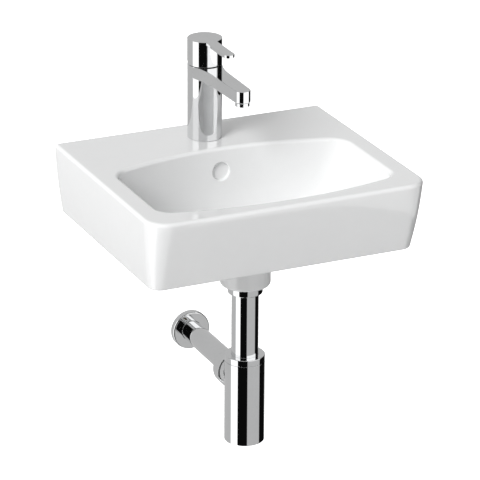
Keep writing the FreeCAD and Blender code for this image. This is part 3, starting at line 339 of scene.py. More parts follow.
def arc_points(centre, radius, start, end, count, with_end=False):
    """Points on an arc, with or without its last one."""
    turns = np.linspace(start, end, count, endpoint=with_end)
    return [(centre[0] + radius * math.cos(turn), centre[1] + radius * math.sin(turn)) for turn in turns]


def outline(half, rear, front, rear_bow, front_bow, rear_corner, front_corner, height):
    """A level ring, symmetric about X = 0, that starts in the middle of the rear."""
    rear_radius = (half**2 + rear_bow**2) / (2 * rear_bow)
    front_radius = (half**2 + front_bow**2) / (2 * front_bow)
    rear_centre = -rear - rear_radius
    front_centre = -front + front_radius
    rear_side = rear_centre + math.sqrt((rear_radius - rear_corner)**2 - (half - rear_corner)**2)
    front_side = front_centre - math.sqrt((front_radius - front_corner)**2 - (half - front_corner)**2)
    rear_turn = math.atan2(rear_side - rear_centre, half - rear_corner)
    front_turn = math.atan2(front_side - front_centre, half - front_corner)
    points = arc_points((0, rear_centre), rear_radius, QUARTER_TURN, rear_turn, REAR_POINTS)
    points += arc_points((half - rear_corner, rear_side), rear_corner, rear_turn, 0, REAR_CORNER_POINTS)
    points += [(half, y) for y in np.linspace(rear_side, front_side, SIDE_POINTS, endpoint=False)]
    points += arc_points((half - front_corner, front_side), front_corner, 0, front_turn, FRONT_CORNER_POINTS)
    points += arc_points((0, front_centre), front_radius, front_turn, -QUARTER_TURN, FRONT_POINTS)
    points.append((0, -front))
    mirrored = [(-x, y) for x, y in points[-2:0:-1]]
    return [(x, y, height) for x, y in points + mirrored]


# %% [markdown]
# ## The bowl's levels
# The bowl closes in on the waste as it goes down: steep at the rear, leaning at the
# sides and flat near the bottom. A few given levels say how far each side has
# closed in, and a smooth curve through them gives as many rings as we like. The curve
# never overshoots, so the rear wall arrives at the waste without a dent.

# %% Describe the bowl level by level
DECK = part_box("basin_body")[1].z
BASIN_HALF = 202.75 * MM
BASIN_DEPTH = 344.7 * MM
APRON_HEIGHT = 102.4 * MM
BOWL_HALF = 172.0 * MM
BOWL_REAR = 107.0 * MM
BOWL_FRONT = 320.5 * MM
BOWL_REAR_BOW = 33.1 * MM
BOWL_FRONT_BOW = 23.7 * MM
BOWL_DEPTH = 118.0 * MM
BOWL_LOW_HALF = 30.5 * MM
BOWL_FLOOR_WALL = 13.0 * MM
SHELL_WALL = 11.0 * MM
DECK_WALL = 12.0 * MM
BACK_WALL = 14.0 * MM
LIP_ROUND = 5.0 * MM
WASTE_Y = -191.5 * MM
# Rows: depth, side, rear, front, bow, rear corner and front corner.
bowl_level_shares = np.array([
    (0.00, 0.000, 0.00, 0.00, 1.00, 0.19, 0.150),
    (0.17, 0.027, 0.04, 0.04, 0.95, 0.22, 0.172),
    (0.51, 0.115, 0.13, 0.14, 0.80, 0.28, 0.26),
    (0.78, 0.257, 0.33, 0.34, 0.65, 0.36, 0.36),
    (0.915, 0.486, 0.66, 0.66, 0.50, 0.43, 0.45),
    (0.97, 0.757, 1.00, 0.98, 0.42, 0.54, 0.54),
    (1.00, 1.000, 1.00, 1.00, 0.30, 0.84, 0.84),
])
CORNER_GROWTH_SHARE = 0.6
LEVEL_STEPS = 8


def level_slopes(rows):
    """Slopes at each row that keep a cubic curve between its rows."""
    steps = np.diff(rows, axis=0)
    slopes = np.zeros_like(rows)
    slopes[0], slopes[-1] = steps[0], steps[-1]
    before, after = steps[:-1], steps[1:]
    same_way = before * after > 0
    total = np.where(same_way, before + after, 1)
    slopes[1:-1] = np.where(same_way, 2 * before * after / total, 0)
    return slopes


def through_levels(rows, steps):
    """Rows on a smooth curve through the given rows, with steps between each two."""
    slopes = level_slopes(rows)
    curve = []
    for start, end, leave, arrive in zip(rows, rows[1:], slopes, slopes[1:]):
        for share in np.linspace(0, 1, steps, endpoint=False):
            weight = 3 * share**2 - 2 * share**3
            curve.append(start + (end - start) * weight
                         + leave * (share**3 - 2 * share**2 + share)
                         + arrive * (share**3 - share**2))
    curve.append(rows[-1])
    return np.array(curve)


def bowl_ring(row, offset, height):
    """One level of the bowl, moved outward by an offset."""
    _, side, rear_share, front_share, bow, rear_corner, front_corner = row
    half = BOWL_HALF + (BOWL_LOW_HALF - BOWL_HALF) * side
    rear = BOWL_REAR + (-WASTE_Y - BOWL_LOW_HALF - BOWL_REAR) * rear_share
    front = BOWL_FRONT + (-WASTE_Y + BOWL_LOW_HALF - BOWL_FRONT) * front_share
    growth = offset * CORNER_GROWTH_SHARE
    return outline(half + offset, rear - offset, front + offset, BOWL_REAR_BOW * bow, BOWL_FRONT_BOW * bow,
                   half * rear_corner + growth, half * front_corner + growth, height)


bowl_rows = through_levels(bowl_level_shares, LEVEL_STEPS)
print("levels in the bowl:", len(bowl_rows))

# %% [markdown]
# ## The apron's levels
# Seen from the front the apron leans back under the deck, a little more with every
# centimetre, and its edge against the deck is round. The inset of each side at a depth
# is first a circle and then a gentle curve. We fit the circle so that it touches the
# curve, and no line shows where one becomes the other.

# %% Describe how far the apron has moved in at each depth
EDGE_ROUND = 4.8 * MM
SIDE_INSETS = (3.4 * MM, 10.4 * MM)
FRONT_INSETS = (12.0 * MM, 26.5 * MM)
APRON_CORNERS = (32.0 * MM, 24.0 * MM, 16.0 * MM)
SQUARE_CORNER = 1.5 * MM
STRAIGHT_BOW = 0.01 * MM
SOFT_EDGE = 2.0 * MM
TOUCH_SHARE = 1.1
SLOPE_STEP = 0.1 * MM


def leaning_curve(depth, middle, low):
    """The inset of a side that leans in by middle halfway down and by low at the bottom."""
    share = depth / APRON_HEIGHT
    first = 4 * middle - low
    return first * share + (low - first) * share**2


def side_inset(depth, middle, low):
    """The inset of a side with its round edge at the top."""
    touch = EDGE_ROUND * TOUCH_SHARE
    above, below = (leaning_curve(touch + step, middle, low) for step in (-SLOPE_STEP, SLOPE_STEP))
    slope = (below - above) / (2 * SLOPE_STEP)
    lean = math.hypot(1, slope)
    base = leaning_curve(touch, middle, low) - slope * touch
    touch_depth = EDGE_ROUND * (1 + slope / lean)
    if depth > touch_depth:
        return leaning_curve(depth, middle, low) if depth > touch else base + slope * depth
    centre = base + slope * EDGE_ROUND + EDGE_ROUND * lean
    return centre - math.sqrt(max(EDGE_ROUND**2 - (EDGE_ROUND - depth)**2, 0))


def rear_inset(depth):
    """The rear edge is nearly square, because it meets the wall."""
    share = min(depth / EDGE_ROUND, 1)
    return SQUARE_CORNER / 2 * (1 - math.sqrt(1 - (1 - share)**2))


def apron_ring(depth, wall=0.0, inset=0.0, rear_wall=None):
    """The apron's outer form at a depth, moved in by a wall or by an inset."""
    share = depth / APRON_HEIGHT
    top, middle, low = APRON_CORNERS
    corner = top + (4 * middle - 3 * top - low) * share + (2 * top + 2 * low - 4 * middle) * share**2
    side = side_inset(depth, *SIDE_INSETS) + wall + inset
    front = side_inset(depth, *FRONT_INSETS) + wall + inset
    rounding = max(EDGE_ROUND - depth, 0)
    rear = (rear_inset(depth) if rear_wall is None else rear_wall) + inset
    square = SQUARE_CORNER + wall / 2 + inset
    return outline(BASIN_HALF - side, rear, BASIN_DEPTH - front, STRAIGHT_BOW, STRAIGHT_BOW,
                   square, corner - (wall + inset + rounding) / 2, DECK - depth)


print("front leans in by", round(side_inset(APRON_HEIGHT, *FRONT_INSETS) / MM, 1), "mm")

# %% [markdown]
# ## The basin
# Now the rings go round once: up the bowl, over the lip, across the deck, down the
# apron, round its lower edge, up its inside, and down the outside of the bowl to the
# neck that holds the waste. A ring just inside each edge of the deck keeps the flat
# part flat when the faces are shaded smooth.

# %% Lay the rings of the basin
SEAT_RADIUS = 32.0 * MM
SEAT_DEPTH = 4.0 * MM
SEAT_SOFT = 0.6 * MM
WASTE_HOLE_RADIUS = 23.0 * MM
NECK_RADIUS = 35.2 * MM
NECK_LENGTH = 51.7 * MM
NECK_ROUND = 5.0 * MM
RECESS_RADIUS = 30.0 * MM
RECESS_HEIGHT = 23.7 * MM
FLAT_MARGIN = 0.4 * MM
ROUND_STEPS = 9
DECK_SPANS = 6
EDGE_RINGS = 12
APRON_RINGS = 18
INSIDE_RINGS = 9
BELOW_EDGE_SHARE = 1.12
INSIDE_FOOT_SHARE = 0.9
WIDER_THAN_SEAT_SHARE = 1.12


def round_steps(radius, count=ROUND_STEPS):
    """Pairs of how far a quarter circle has gone in and down."""
    turns = np.linspace(0, QUARTER_TURN, count)
    return [(radius * (1 - math.cos(turn)), radius * math.sin(turn)) for turn in turns]


def circle_ring(radius, height, bearings, centre_y):
    """A level circle whose points lie at the given bearings."""
    return [(radius * math.cos(turn), centre_y + radius * math.sin(turn), height) for turn in bearings]


def between(first, second, share):
    """A ring part of the way from one ring to another."""
    return [tuple(a + (b - a) * share for a, b in zip(start, end)) for start, end in zip(first, second)]


def bowl_skin():
    """Rings from the lowest level of the bowl up to the deck."""
    fall = BOWL_DEPTH - LIP_ROUND
    rings = []
    for row in bowl_rows[::-1]:
        half = BOWL_HALF + (BOWL_LOW_HALF - BOWL_HALF) * row[1]
        if half > SEAT_RADIUS * WIDER_THAN_SEAT_SHARE:
            rings.append(bowl_ring(row, 0.0, DECK - LIP_ROUND - fall * row[0]))
    top = bowl_rows[0]
    for inward, up_by in round_steps(LIP_ROUND)[1:]:
        rings.append(bowl_ring(top, inward, DECK - LIP_ROUND + up_by))
    rings.append(bowl_ring(top, LIP_ROUND + FLAT_MARGIN, DECK))
    return rings


def apron_skin():
    """Rings from the deck's outer edge down the apron and up its inside."""
    rings = [apron_ring(0.0, inset=FLAT_MARGIN)]
    rings += [apron_ring(depth) for depth, _ in round_steps(EDGE_ROUND, EDGE_RINGS)]
    outside_depths = np.linspace(EDGE_ROUND * BELOW_EDGE_SHARE, APRON_HEIGHT - SOFT_EDGE, APRON_RINGS)
    rings += [apron_ring(depth) for depth in outside_depths]
    for inward, down_by in round_steps(SOFT_EDGE)[1:]:
        rings.append(apron_ring(APRON_HEIGHT - SOFT_EDGE + down_by, inset=inward))
    inside = {"wall": SHELL_WALL, "rear_wall": BACK_WALL}
    for inward, down_by in round_steps(SOFT_EDGE)[::-1]:
        rings.append(apron_ring(APRON_HEIGHT - SOFT_EDGE + down_by, inset=-inward, **inside))
    inside_depths = np.linspace(APRON_HEIGHT * INSIDE_FOOT_SHARE, DECK_WALL + SOFT_EDGE, INSIDE_RINGS)
    rings += [apron_ring(depth, **inside) for depth in inside_depths]
    for inward, up_by in round_steps(SOFT_EDGE)[1:]:
        rings.append(apron_ring(DECK_WALL + SOFT_EDGE - up_by, inset=inward, **inside))
    return rings


def outer_bowl_skin():
    """Rings from the deck's underside down the outside of the bowl."""
    fall = BOWL_DEPTH + BOWL_FLOOR_WALL
    below_deck = [row for row in bowl_rows if fall * row[0] > DECK_WALL]
    return [bowl_ring(row, SHELL_WALL, DECK - fall * row[0]) for row in below_deck]


def neck_skin(bearings):
    """Rings round the neck, up its recess and out onto the seat of the waste."""
    root = DECK - BOWL_DEPTH - BOWL_FLOOR_WALL
    foot = DECK - BOWL_DEPTH - NECK_LENGTH
    seat = DECK - BOWL_DEPTH - SEAT_DEPTH
    profile = [(NECK_RADIUS + SOFT_EDGE, root), (NECK_RADIUS, root - SOFT_EDGE),
               (NECK_RADIUS, (root + foot) / 2)]
    profile += [(NECK_RADIUS - inset, foot + NECK_ROUND - down) for inset, down in round_steps(NECK_ROUND)]
    profile += [(RECESS_RADIUS, foot + SEAT_SOFT), (RECESS_RADIUS, foot + RECESS_HEIGHT),
                (WASTE_HOLE_RADIUS, foot + RECESS_HEIGHT), (WASTE_HOLE_RADIUS, seat), (SEAT_RADIUS, seat),
                (SEAT_RADIUS, DECK - BOWL_DEPTH - SEAT_SOFT), (SEAT_RADIUS + SEAT_SOFT, DECK - BOWL_DEPTH)]
    return [circle_ring(radius, height, bearings, WASTE_Y) for radius, height in profile]


bowl_rings = bowl_skin()
apron_rings = apron_skin()
deck_shares = np.linspace(0, 1, DECK_SPANS)[1:-1]
deck_rings = [between(bowl_rings[-1], apron_rings[0], share) for share in deck_shares]
waste_bearings = [math.atan2(y - WASTE_Y, x) for x, y, _ in bowl_rings[0]]
upper_rings = bowl_rings + deck_rings + apron_rings
basin = skin_rings(upper_rings + outer_bowl_skin() + neck_skin(waste_bearings), closed=True)
print("basin skin:", len(basin.faces), "faces")

# %% [markdown]
# ## The overflow
# High in the rear wall a hole lets water out before the bowl runs over. Its mouth is
# soft, because the glaze rounds every edge, and behind it one sees the back of the
# channel. We take out the faces near the hole's axis, sort the open edge by bearing and
# lay new rings from it: first onto a circle on the wall, then round the mouth and back
# to the channel's rear.

# %% Open the overflow hole
OVERFLOW_RADIUS = 12.5 * MM
OVERFLOW_DROP = 33.6 * MM
MOUTH_ROUND = 1.8 * MM
MOUTH_REACH = 19.0 * MM
MOUTH_FLAT_SHARES = (2, 1.2)
CHANNEL_REAR_Y = -90.5 * MM


def open_rear_wall(work, height):
    """Replaces the faces of the bowl's rear wall near the overflow's axis by a round hole."""
    wall = BVHTree.FromBMesh(work)

    def wall_y(x, z):
        return wall.ray_cast(Vector((x, WASTE_Y, z)), Vector((0, 1, 0)))[0].y

    def near_hole(corner):
        return math.hypot(corner.co.x, corner.co.z - height) < MOUTH_REACH

    centre_y = wall_y(0, height)
    doomed = [face for face in work.faces
              if abs(face.calc_center_median().y - centre_y) < SHELL_WALL / 2
              and any(near_hole(corner) for corner in face.verts)]
    bmesh.ops.delete(work, geom=doomed, context="FACES")
    edge_corners = {corner for edge in work.edges if len(edge.link_faces) == 1 for corner in edge.verts}
    border = sorted(edge_corners, key=lambda corner: math.atan2(corner.co.z - height, corner.co.x))
    bearings = [math.atan2(corner.co.z - height, corner.co.x) for corner in border]
    rings = [border]
    profile = [(OVERFLOW_RADIUS + MOUTH_ROUND * share, 0) for share in MOUTH_FLAT_SHARES]
    profile += [(OVERFLOW_RADIUS + MOUTH_ROUND - down, back) for back, down in round_steps(MOUTH_ROUND)]
    for radius, back in profile:
        ring = []
        for turn in bearings:
            x, z = radius * math.cos(turn), height + radius * math.sin(turn)
            ring.append(work.verts.new((x, wall_y(x, z) + back, z)))
        rings.append(ring)
    for radius in (OVERFLOW_RADIUS, OVERFLOW_RADIUS - SEAT_SOFT):
        places = [(radius * math.cos(turn), height + radius * math.sin(turn)) for turn in bearings]
        rings.append([work.verts.new((x, CHANNEL_REAR_Y, z)) for x, z in places])
    for ring, following in zip(rings, rings[1:]):
        weave(work, ring, following)
    work.faces.new(rings[-1])
    bmesh.ops.recalc_face_normals(work, faces=work.faces)


open_rear_wall(basin, DECK - OVERFLOW_DROP)
print("open edges:", sum(len(edge.link_faces) == 1 for edge in basin.edges))

# %% [markdown]
# ## The overflow's duct and the holes for the fixings
# Behind the bowl a rib of the casting holds the duct that takes the overflow's water to
# the waste. Only its outside is made here, as a second closed skin in the basin's mesh:
# its front runs down inside the bowl's wall, and there is no duct in it.
# The holes for the tap and the wall studs are cut last. They are plain drilled holes,
# and a boolean cut makes them with the sharp edges that drilling leaves.

# %% Add the rib and cut the plain holes
RIB_HALF = 23.0 * MM
RIB_REAR_Y = -81.5 * MM
RIB_FOOT = 147.0 * MM
RIB_CORNER = 3.0 * MM
TAP_Y = -54.0 * MM
TAP_HOLE_RADIUS = 17.5 * MM
FIXING_HALF_SPACING = 100.0 * MM
FIXING_RADIUS = 8.0 * MM
HOLE_SIDES = 96
CORNER_POINTS = 7
RIB_FOOT_STEPS = 5
DRILL_LENGTH = 42.0 * MM


def rounded_rectangle(half, rear, front, corner, height):
    """A level rectangle with round corners, counter-clockwise."""
    points = []
    centres = ((half - corner, rear - corner), (corner - half, rear - corner),
               (corner - half, front + corner), (half - corner, front + corner))
    for index, centre in enumerate(centres):
        start = index * QUARTER_TURN
        points += arc_points(centre, corner, start, start + QUARTER_TURN, CORNER_POINTS, with_end=True)
    return [(x, y, height) for x, y in points]


def rib_shell():
    """The closed rib, whose front runs down inside the wall of the bowl."""
    levels = []
    for row in bowl_rows:
        depth = BOWL_DEPTH * row[0]
        wall_y = -BOWL_REAR - (-WASTE_Y - BOWL_LOW_HALF - BOWL_REAR) * row[2] + SHELL_WALL / 2
        if depth > DECK_WALL / 2:
            levels.append((depth, wall_y))
    neck_front = WASTE_Y + NECK_RADIUS - SEAT_SOFT
    levels += [(BOWL_DEPTH + BOWL_FLOOR_WALL / 2, neck_front), (RIB_FOOT - RIB_CORNER, neck_front)]
    rings = [rounded_rectangle(RIB_HALF, RIB_REAR_Y, front, RIB_CORNER, DECK - depth)
             for depth, front in levels]
    for inset, down_by in round_steps(RIB_CORNER, RIB_FOOT_STEPS)[1:]:
        rings.append(rounded_rectangle(RIB_HALF - inset, RIB_REAR_Y - inset, neck_front,
                                       RIB_CORNER, DECK - RIB_FOOT + RIB_CORNER - down_by))
    return capped_skin(rings)


def combined(work, tool_work, operation):
    """The exact union or difference of two closed bmeshes. Both are used up."""
    tool = as_object(tool_work, "tool")
    base = as_object(work, "base")
    joining = base.modifiers.new("joining", "BOOLEAN")
    joining.object = tool
    joining.operation = operation
    joining.solver = "EXACT"
    bpy.context.view_layer.update()
    evaluated = base.evaluated_get(bpy.context.evaluated_depsgraph_get())
    result = bmesh.new()
    result.from_mesh(evaluated.to_mesh())
    evaluated.to_mesh_clear()
    for done in (tool, base):
        bpy.data.objects.remove(done)
    return result


def drills(holes, length):
    """A bmesh of cylinders, each given by its radius, its centre and its turn about X."""
    work = bmesh.new()
    for radius, centre, turn in holes:
        tip = Matrix.Translation(centre) @ Matrix.Rotation(turn, 4, "X")
        bmesh.ops.create_cone(work, cap_ends=True, segments=HOLE_SIDES, radius1=radius, radius2=radius,
                              depth=length, matrix=tip)
    return work


holes = [(TAP_HOLE_RADIUS, (0, TAP_Y, DECK), 0)]
holes += [(FIXING_RADIUS, (side * FIXING_HALF_SPACING, 0, 0), QUARTER_TURN) for side in (-1, 1)]
basin = combined(basin, drills(holes, DRILL_LENGTH), "DIFFERENCE")
rib = as_object(rib_shell(), "rib")
basin.from_mesh(rib.data)
bpy.data.objects.remove(rib)
finish_piece(basin, "basin_glazed", "glaze", "basin", ["basin_body"])

# %% [markdown]
# ## Turned pieces
# Tubes, nuts, the trap's cup and the rosette come off a lathe. The frame's own meshes
# hold their form, but polished chrome is a stern judge: a stripe wavers wherever long
# thin triangles meet. We spin each profile ourselves, with points in straight rows, and
# give every corner the tiny round that plating leaves. A point just beyond each round
# keeps the flat next to it flat in the mirror.

# %% Helpers for profiles and turning
TURN_STEPS = 160
FINE_EDGE = 0.3
ROUND_POINTS = 5
ROOM_SHARE = 0.45


def rounded_corner(before, here, after, radius):
    """Points round a corner of a profile, with one more on the flat at either side."""
    back, ahead = before - here, after - here
    half_angle = back.angle(ahead) / 2
    room = min(back.length, ahead.length) * ROOM_SHARE
    reach = min(radius / math.tan(half_angle), room)
    radius = reach * math.tan(half_angle)
    flat = min(reach + FLAT_MARGIN, room)
    back, ahead = back.normalized(), ahead.normalized()
    centre = here + (back + ahead).normalized() * radius / math.sin(half_angle)
    start, end = here + back * reach - centre, here + ahead * reach - centre
    sweep = math.pi - 2 * half_angle
    points = [here + back * flat]
    for share in np.linspace(0, 1, ROUND_POINTS):
        weights = math.sin((1 - share) * sweep), math.sin(share * sweep)
        points.append(centre + (start * weights[0] + end * weights[1]) / math.sin(sweep))
    points.append(here + ahead * flat)
    return points


def soft_profile(corners, rounds):
    """A closed profile of radius and height whose corners, but those on the axis, are rounded."""
    places = [Vector(corner) * MM for corner in corners]
    points = []
    for index, here in enumerate(places):
        if here.x == 0:
            points.append(here)
            continue
        following = places[(index + 1) % len(places)]
        points += rounded_corner(places[index - 1], here, following, rounds.get(index, FINE_EDGE) * MM)
    return points


def turned(corners, place, rounds=None):
    """A bmesh spun from corners of radius and height in millimetres. A profile that
    touches the axis starts and ends there. Rounds are given by a corner's number."""
    turns = np.linspace(0, 2 * math.pi, TURN_STEPS, endpoint=False)
    rings = [[(point.x * math.cos(turn), point.x * math.sin(turn), point.y) for turn in turns]
             for point in soft_profile(corners, rounds or {})]
    work = skin_rings(rings, closed=corners[0][0] > 0)
    bmesh.ops.transform(work, matrix=place, verts=work.verts)
    return work


def upright(axis_y, height):
    """Stands a turned piece on its axis at a height."""
    return Matrix.Translation((0, axis_y, height))


def toward_wall(start_y, level):
    """Lays a turned piece on its side, so that it grows toward the wall."""
    return Matrix.Translation((0, start_y, level)) @ Matrix.Rotation(-QUARTER_TURN, 4, "X")


print("a turned piece has", TURN_STEPS, "sides")

# %% [markdown]
# ## The trap and its tubes
# A bottle trap is a chain of short turned pieces: the nut under the neck, the down tube,
# the cap and the cup, then the nut, the sleeve and the tube to the wall, and the rosette
# that hides the hole in the tiles. The boss on the cup's rear is joined by an exact
# union, as the maker brazes it on.

# %% Turn the pieces below the basin
OUTLET = -252.4 * MM


def node_length(node):
    """How tall a node of the frame is, in millimetres."""
    low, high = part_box(node)
    return (high.z - low.z) / MM


def on_waste(low):
    """Stands a piece on the waste's axis, where its node starts."""
    return upright(WASTE_Y, low.z)


def on_outlet(low):
    """Lays a piece on the outlet's axis, where its node starts."""
    return toward_wall(low.y, OUTLET)


def turn_pieces(table, place):
    """Turns each piece of a table of nodes, rounds and corners."""
    for name, (node, rounds, corners) in table.items():
        work = turned(corners, place(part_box(node)[0]), rounds)
        finish_piece(work, name, "chrome", "basin", [node])


nut_height = node_length("trap_union_nut")
tube_length = node_length("inlet_tube")
collar_foot = tube_length - 1.2
turn_pieces({
    "nut_under_neck": ("trap_union_nut", {1: 1.8}, [
        (19.04, 0), (24.4, 0), (24.4, nut_height), (21.05, nut_height), (21.05, 1.3), (19.04, 1.3)]),
    "down_tube": ("inlet_tube", {}, [
        (17.9, 0), (18.94, 0), (18.94, collar_foot), (20.8, collar_foot),
        (20.8, tube_length), (17.9, tube_length)]),
    "trap_lid": ("trap_cap", {4: 0.9}, [
        (22.5, 0), (25.35, 0), (25.35, 8), (28.25, 8), (28.25, 17), (18.99, 17), (18.99, 14), (22.5, 14)]),
}, on_waste)

# %% Turn the cup with its outlet
cup_corners = [(0, 0), (28.25, 0), (28.25, 120.6), (0, 120.6)]
boss_corners = [(0, 0), (25.5, 0), (25.5, 30), (21, 30), (21, 42), (0, 42)]
hollow_corners = [(0, 2), (26.65, 2), (26.65, 110.7), (25.45, 111.9), (25.45, 122), (0, 122)]
cup_foot_round = {1: 1.2}
BORE_RADIUS = 15.85 * MM
BORE_LENGTH = 60.0 * MM

cup_place = on_waste(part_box("trap_body")[0])
cup = combined(turned(cup_corners, cup_place, cup_foot_round),
               turned(boss_corners, toward_wall(WASTE_Y, OUTLET)), "UNION")
cup = combined(cup, turned(hollow_corners, cup_place), "DIFFERENCE")
bore = drills([(BORE_RADIUS, (0, WASTE_Y + BORE_LENGTH / 2, OUTLET), QUARTER_TURN)], BORE_LENGTH)
finish_piece(combined(cup, bore, "DIFFERENCE"), "trap_cup", "chrome", "basin", ["trap_body"])

# %% Turn the pieces on the way to the wall
turn_pieces({
    "outlet_collar": ("outlet_nut", {2: 1.2}, [
        (21.1, 0), (26.9, 0), (26.9, 18.5), (15.85, 18.5), (15.85, 15), (21.1, 15)]),
    "sleeve": ("outlet_sleeve", {}, [(15.1, 0), (15.75, 0), (15.75, 126.5), (15.1, 126.5)]),
    "tube_to_wall": ("wall_tube", {}, [
        (13.8, 0), (15, 0), (15, 121), (14.6, 121), (14.6, 140), (13.8, 140)]),
    "rosette": ("wall_rosette", {1: 2.5}, [
        (15.1, 0), (28.5, 0), (28.5, 9.9), (27.3, 9.9), (27.3, 1.2), (15.1, 1.2)]),
}, on_outlet)

# %% [markdown]
# ## Flat slabs with soft edges
# The spout and the lever are slabs: one plan, one thickness, and edges that a polisher
# has broken. The plan's points move inward along their own normals while the level goes
# through a quarter circle, below and above. A last ring just inside each flat keeps that
# flat even in the mirror.

# %% Helper for slabs
SLAB_ARC_POINTS = 24


def inward(plan, distance):
    """A counter-clockwise plan whose points have moved inward."""
    moved = []
    for index, (x, y) in enumerate(plan):
        before, after = plan[index - 1], plan[(index + 1) % len(plan)]
        along = Vector((after[0] - before[0], after[1] - before[1])).normalized()
        moved.append((x - along.y * distance, y + along.x * distance))
    return moved


def slab(plan, bottom, top, bottom_round, top_round):
    """A closed bmesh of a plan between two heights, with round lower and upper edges."""
    levels = [(bottom_round + FLAT_MARGIN, bottom)]
    levels += [(inset, bottom + bottom_round - down)
               for inset, down in round_steps(bottom_round, ROUND_POINTS)[::-1]]
    levels += [(0, bottom + bottom_round + FLAT_MARGIN), (0, top - top_round - FLAT_MARGIN)]
    levels += [(inset, top - top_round + up) for inset, up in round_steps(top_round, ROUND_POINTS)]
    levels.append((top_round + FLAT_MARGIN, top))
    return capped_skin([[(x, y, height) for x, y in inward(plan, inset)] for inset, height in levels])


def slab_end(reach, half):
    """The half circle that ends a slab in front of the tap's axis."""
    return arc_points((0, reach), half, 0, -math.pi, SLAB_ARC_POINTS, with_end=True)


print("slab helper ready")

# %% [markdown]
# ## The tap's body
# The column and the spout are one casting. The column holds the seat of the cartridge,
# which shows when the handle is taken off, and a thin skirt at its foot reaches down
# round the gasket, so that only a hairline is left on the deck.

# %% Build the body with its spout
TAP_RADIUS = 24.2
TAP_TOP = 107.1
SPOUT_THICK = 17.5 * MM
SPOUT_REACH = 124.0 * MM
SPOUT_TIP = 11.2 * MM
SPOUT_NECK = (12.8 * MM, 50.0 * MM)
SPOUT_ROOT = 9.1 * MM
SPOUT_SAG = 1.9 * MM
SPOUT_ROUNDS = (1.6 * MM, 0.8 * MM)
FLARE_POINTS = 14
SIDE_ROWS = 12
# Corners of radius and height above the deck, in millimetres.
column_corners = [(0, 1), (23.5, 1), (23.5, 0.3), (TAP_RADIUS, 0.3), (TAP_RADIUS, TAP_TOP), (0, TAP_TOP)]
column_rounds = {3: 0.2, 4: 0.5}
cavity_corners = [(0, 64.8), (17.5, 64.8), (17.5, 101), (20.5, 101), (20.5, 109), (0, 109)]
# Holes from below: radius, place across and place along, seen from the tap's axis.
foot_holes = [(4.5, -8.227, 4.75), (4.5, 8.227, 4.75), (4.05, 0, -9.0)]
FOOT_HOLE_LENGTH = 31.0 * MM
SOCKET_RADIUS = 10.1 * MM
SOCKET_LENGTH = 14.0 * MM


def spout_plan():
    """The spout's plan about the tap's axis, counter-clockwise from the right of its root."""
    root = Vector((math.sqrt((TAP_RADIUS * MM)**2 - SPOUT_ROOT**2), -SPOUT_ROOT))
    neck = Vector((SPOUT_NECK[0], -SPOUT_NECK[1]))
    sag = Vector((neck.y - root.y, root.x - neck.x)).normalized() * SPOUT_SAG
    flare = [root.lerp(neck, share) + sag * (4 * share * (1 - share))
             for share in np.linspace(0, 1, FLARE_POINTS, endpoint=False)]
    side = [neck.lerp(Vector((SPOUT_TIP, -SPOUT_REACH)), share)
            for share in np.linspace(0, 1, SIDE_ROWS, endpoint=False)]
    left = [(point.x, point.y) for point in flare + side]
    tip = slab_end(-SPOUT_REACH, SPOUT_TIP)
    plan = left + tip + [(-x, y) for x, y in reversed(left)]
    return [(x, y + TAP_Y) for x, y in reversed(plan)]


body_top = DECK + TAP_TOP * MM
spout_bottom = body_top - SPOUT_THICK
above_deck = upright(TAP_Y, DECK)
tap_body = combined(turned(column_corners, above_deck, column_rounds),
                    slab(spout_plan(), spout_bottom, body_top, *SPOUT_ROUNDS), "UNION")
socket = drills([(SOCKET_RADIUS, (0, TAP_Y - SPOUT_REACH, spout_bottom), 0)], SOCKET_LENGTH)
below = drills([(radius * MM, (across * MM, TAP_Y + along_axis * MM, DECK), 0)
                for radius, across, along_axis in foot_holes], FOOT_HOLE_LENGTH)
for hole in (turned(cavity_corners, above_deck), socket, below):
    tap_body = combined(tap_body, hole, "DIFFERENCE")
finish_piece(tap_body, "tap_casting", "chrome", "basin", ["tap_body"])

# %% [markdown]
# ## The handle
# A cup that is turned to fit over the cartridge, with a flat lever that leaves it at the
# very top. Its upper edge has only a small round. Behind, the lower edge slopes up, so
# that the handle can tip back when the water is opened.

# %% Build the handle with its lever
HANDLE_RADIUS = 24.4
HANDLE_HEIGHT = 36.2
LEVER_HALF = 8.2 * MM
LEVER_THICK = 4.5 * MM
LEVER_REACH = 79.0 * MM
BACK_SLOPE = math.radians(27)
BUTTON_DROP = 16.0 * MM
HANDLE_LIFT = 108.0 * MM
LEVER_ROUND = 0.6 * MM
WEDGE_REACH = 30.0 * MM
WEDGE_DROP_SHARE = 0.25
# Corners of radius and height above the handle's foot, in millimetres.
drum_corners = [(0, HANDLE_HEIGHT), (HANDLE_RADIUS, HANDLE_HEIGHT), (HANDLE_RADIUS, 0), (20, 0), (20, 28.2),
                (7, 28.2), (7, 12), (0, 12)]
drum_rounds = {1: 0.7}
# Holes for the button, its screw and the stem: radius, length, place along, height, turn.
handle_holes = [
    (3.55, 7, 2 - HANDLE_RADIUS, HANDLE_HEIGHT - BUTTON_DROP / MM, QUARTER_TURN),
    (2.55, 9, -4.5, HANDLE_HEIGHT - BUTTON_DROP / MM, QUARTER_TURN),
    (4.05, 23.1, 0, 11.55, 0),
]

handle_low = DECK + HANDLE_LIFT
handle_top = handle_low + HANDLE_HEIGHT * MM
lever_points = slab_end(TAP_Y - LEVER_REACH, LEVER_HALF)
lever_rows = [(LEVER_HALF, TAP_Y - LEVER_REACH * share)
              for share in np.linspace(0, 1, SIDE_ROWS, endpoint=False)]
lever_plan = lever_rows + lever_points + [(-x, y) for x, y in reversed(lever_rows)]
lever = slab(lever_plan[::-1], handle_top - LEVER_THICK, handle_top, LEVER_ROUND, LEVER_ROUND)
handle = combined(turned(drum_corners, upright(TAP_Y, handle_low), drum_rounds), lever, "UNION")


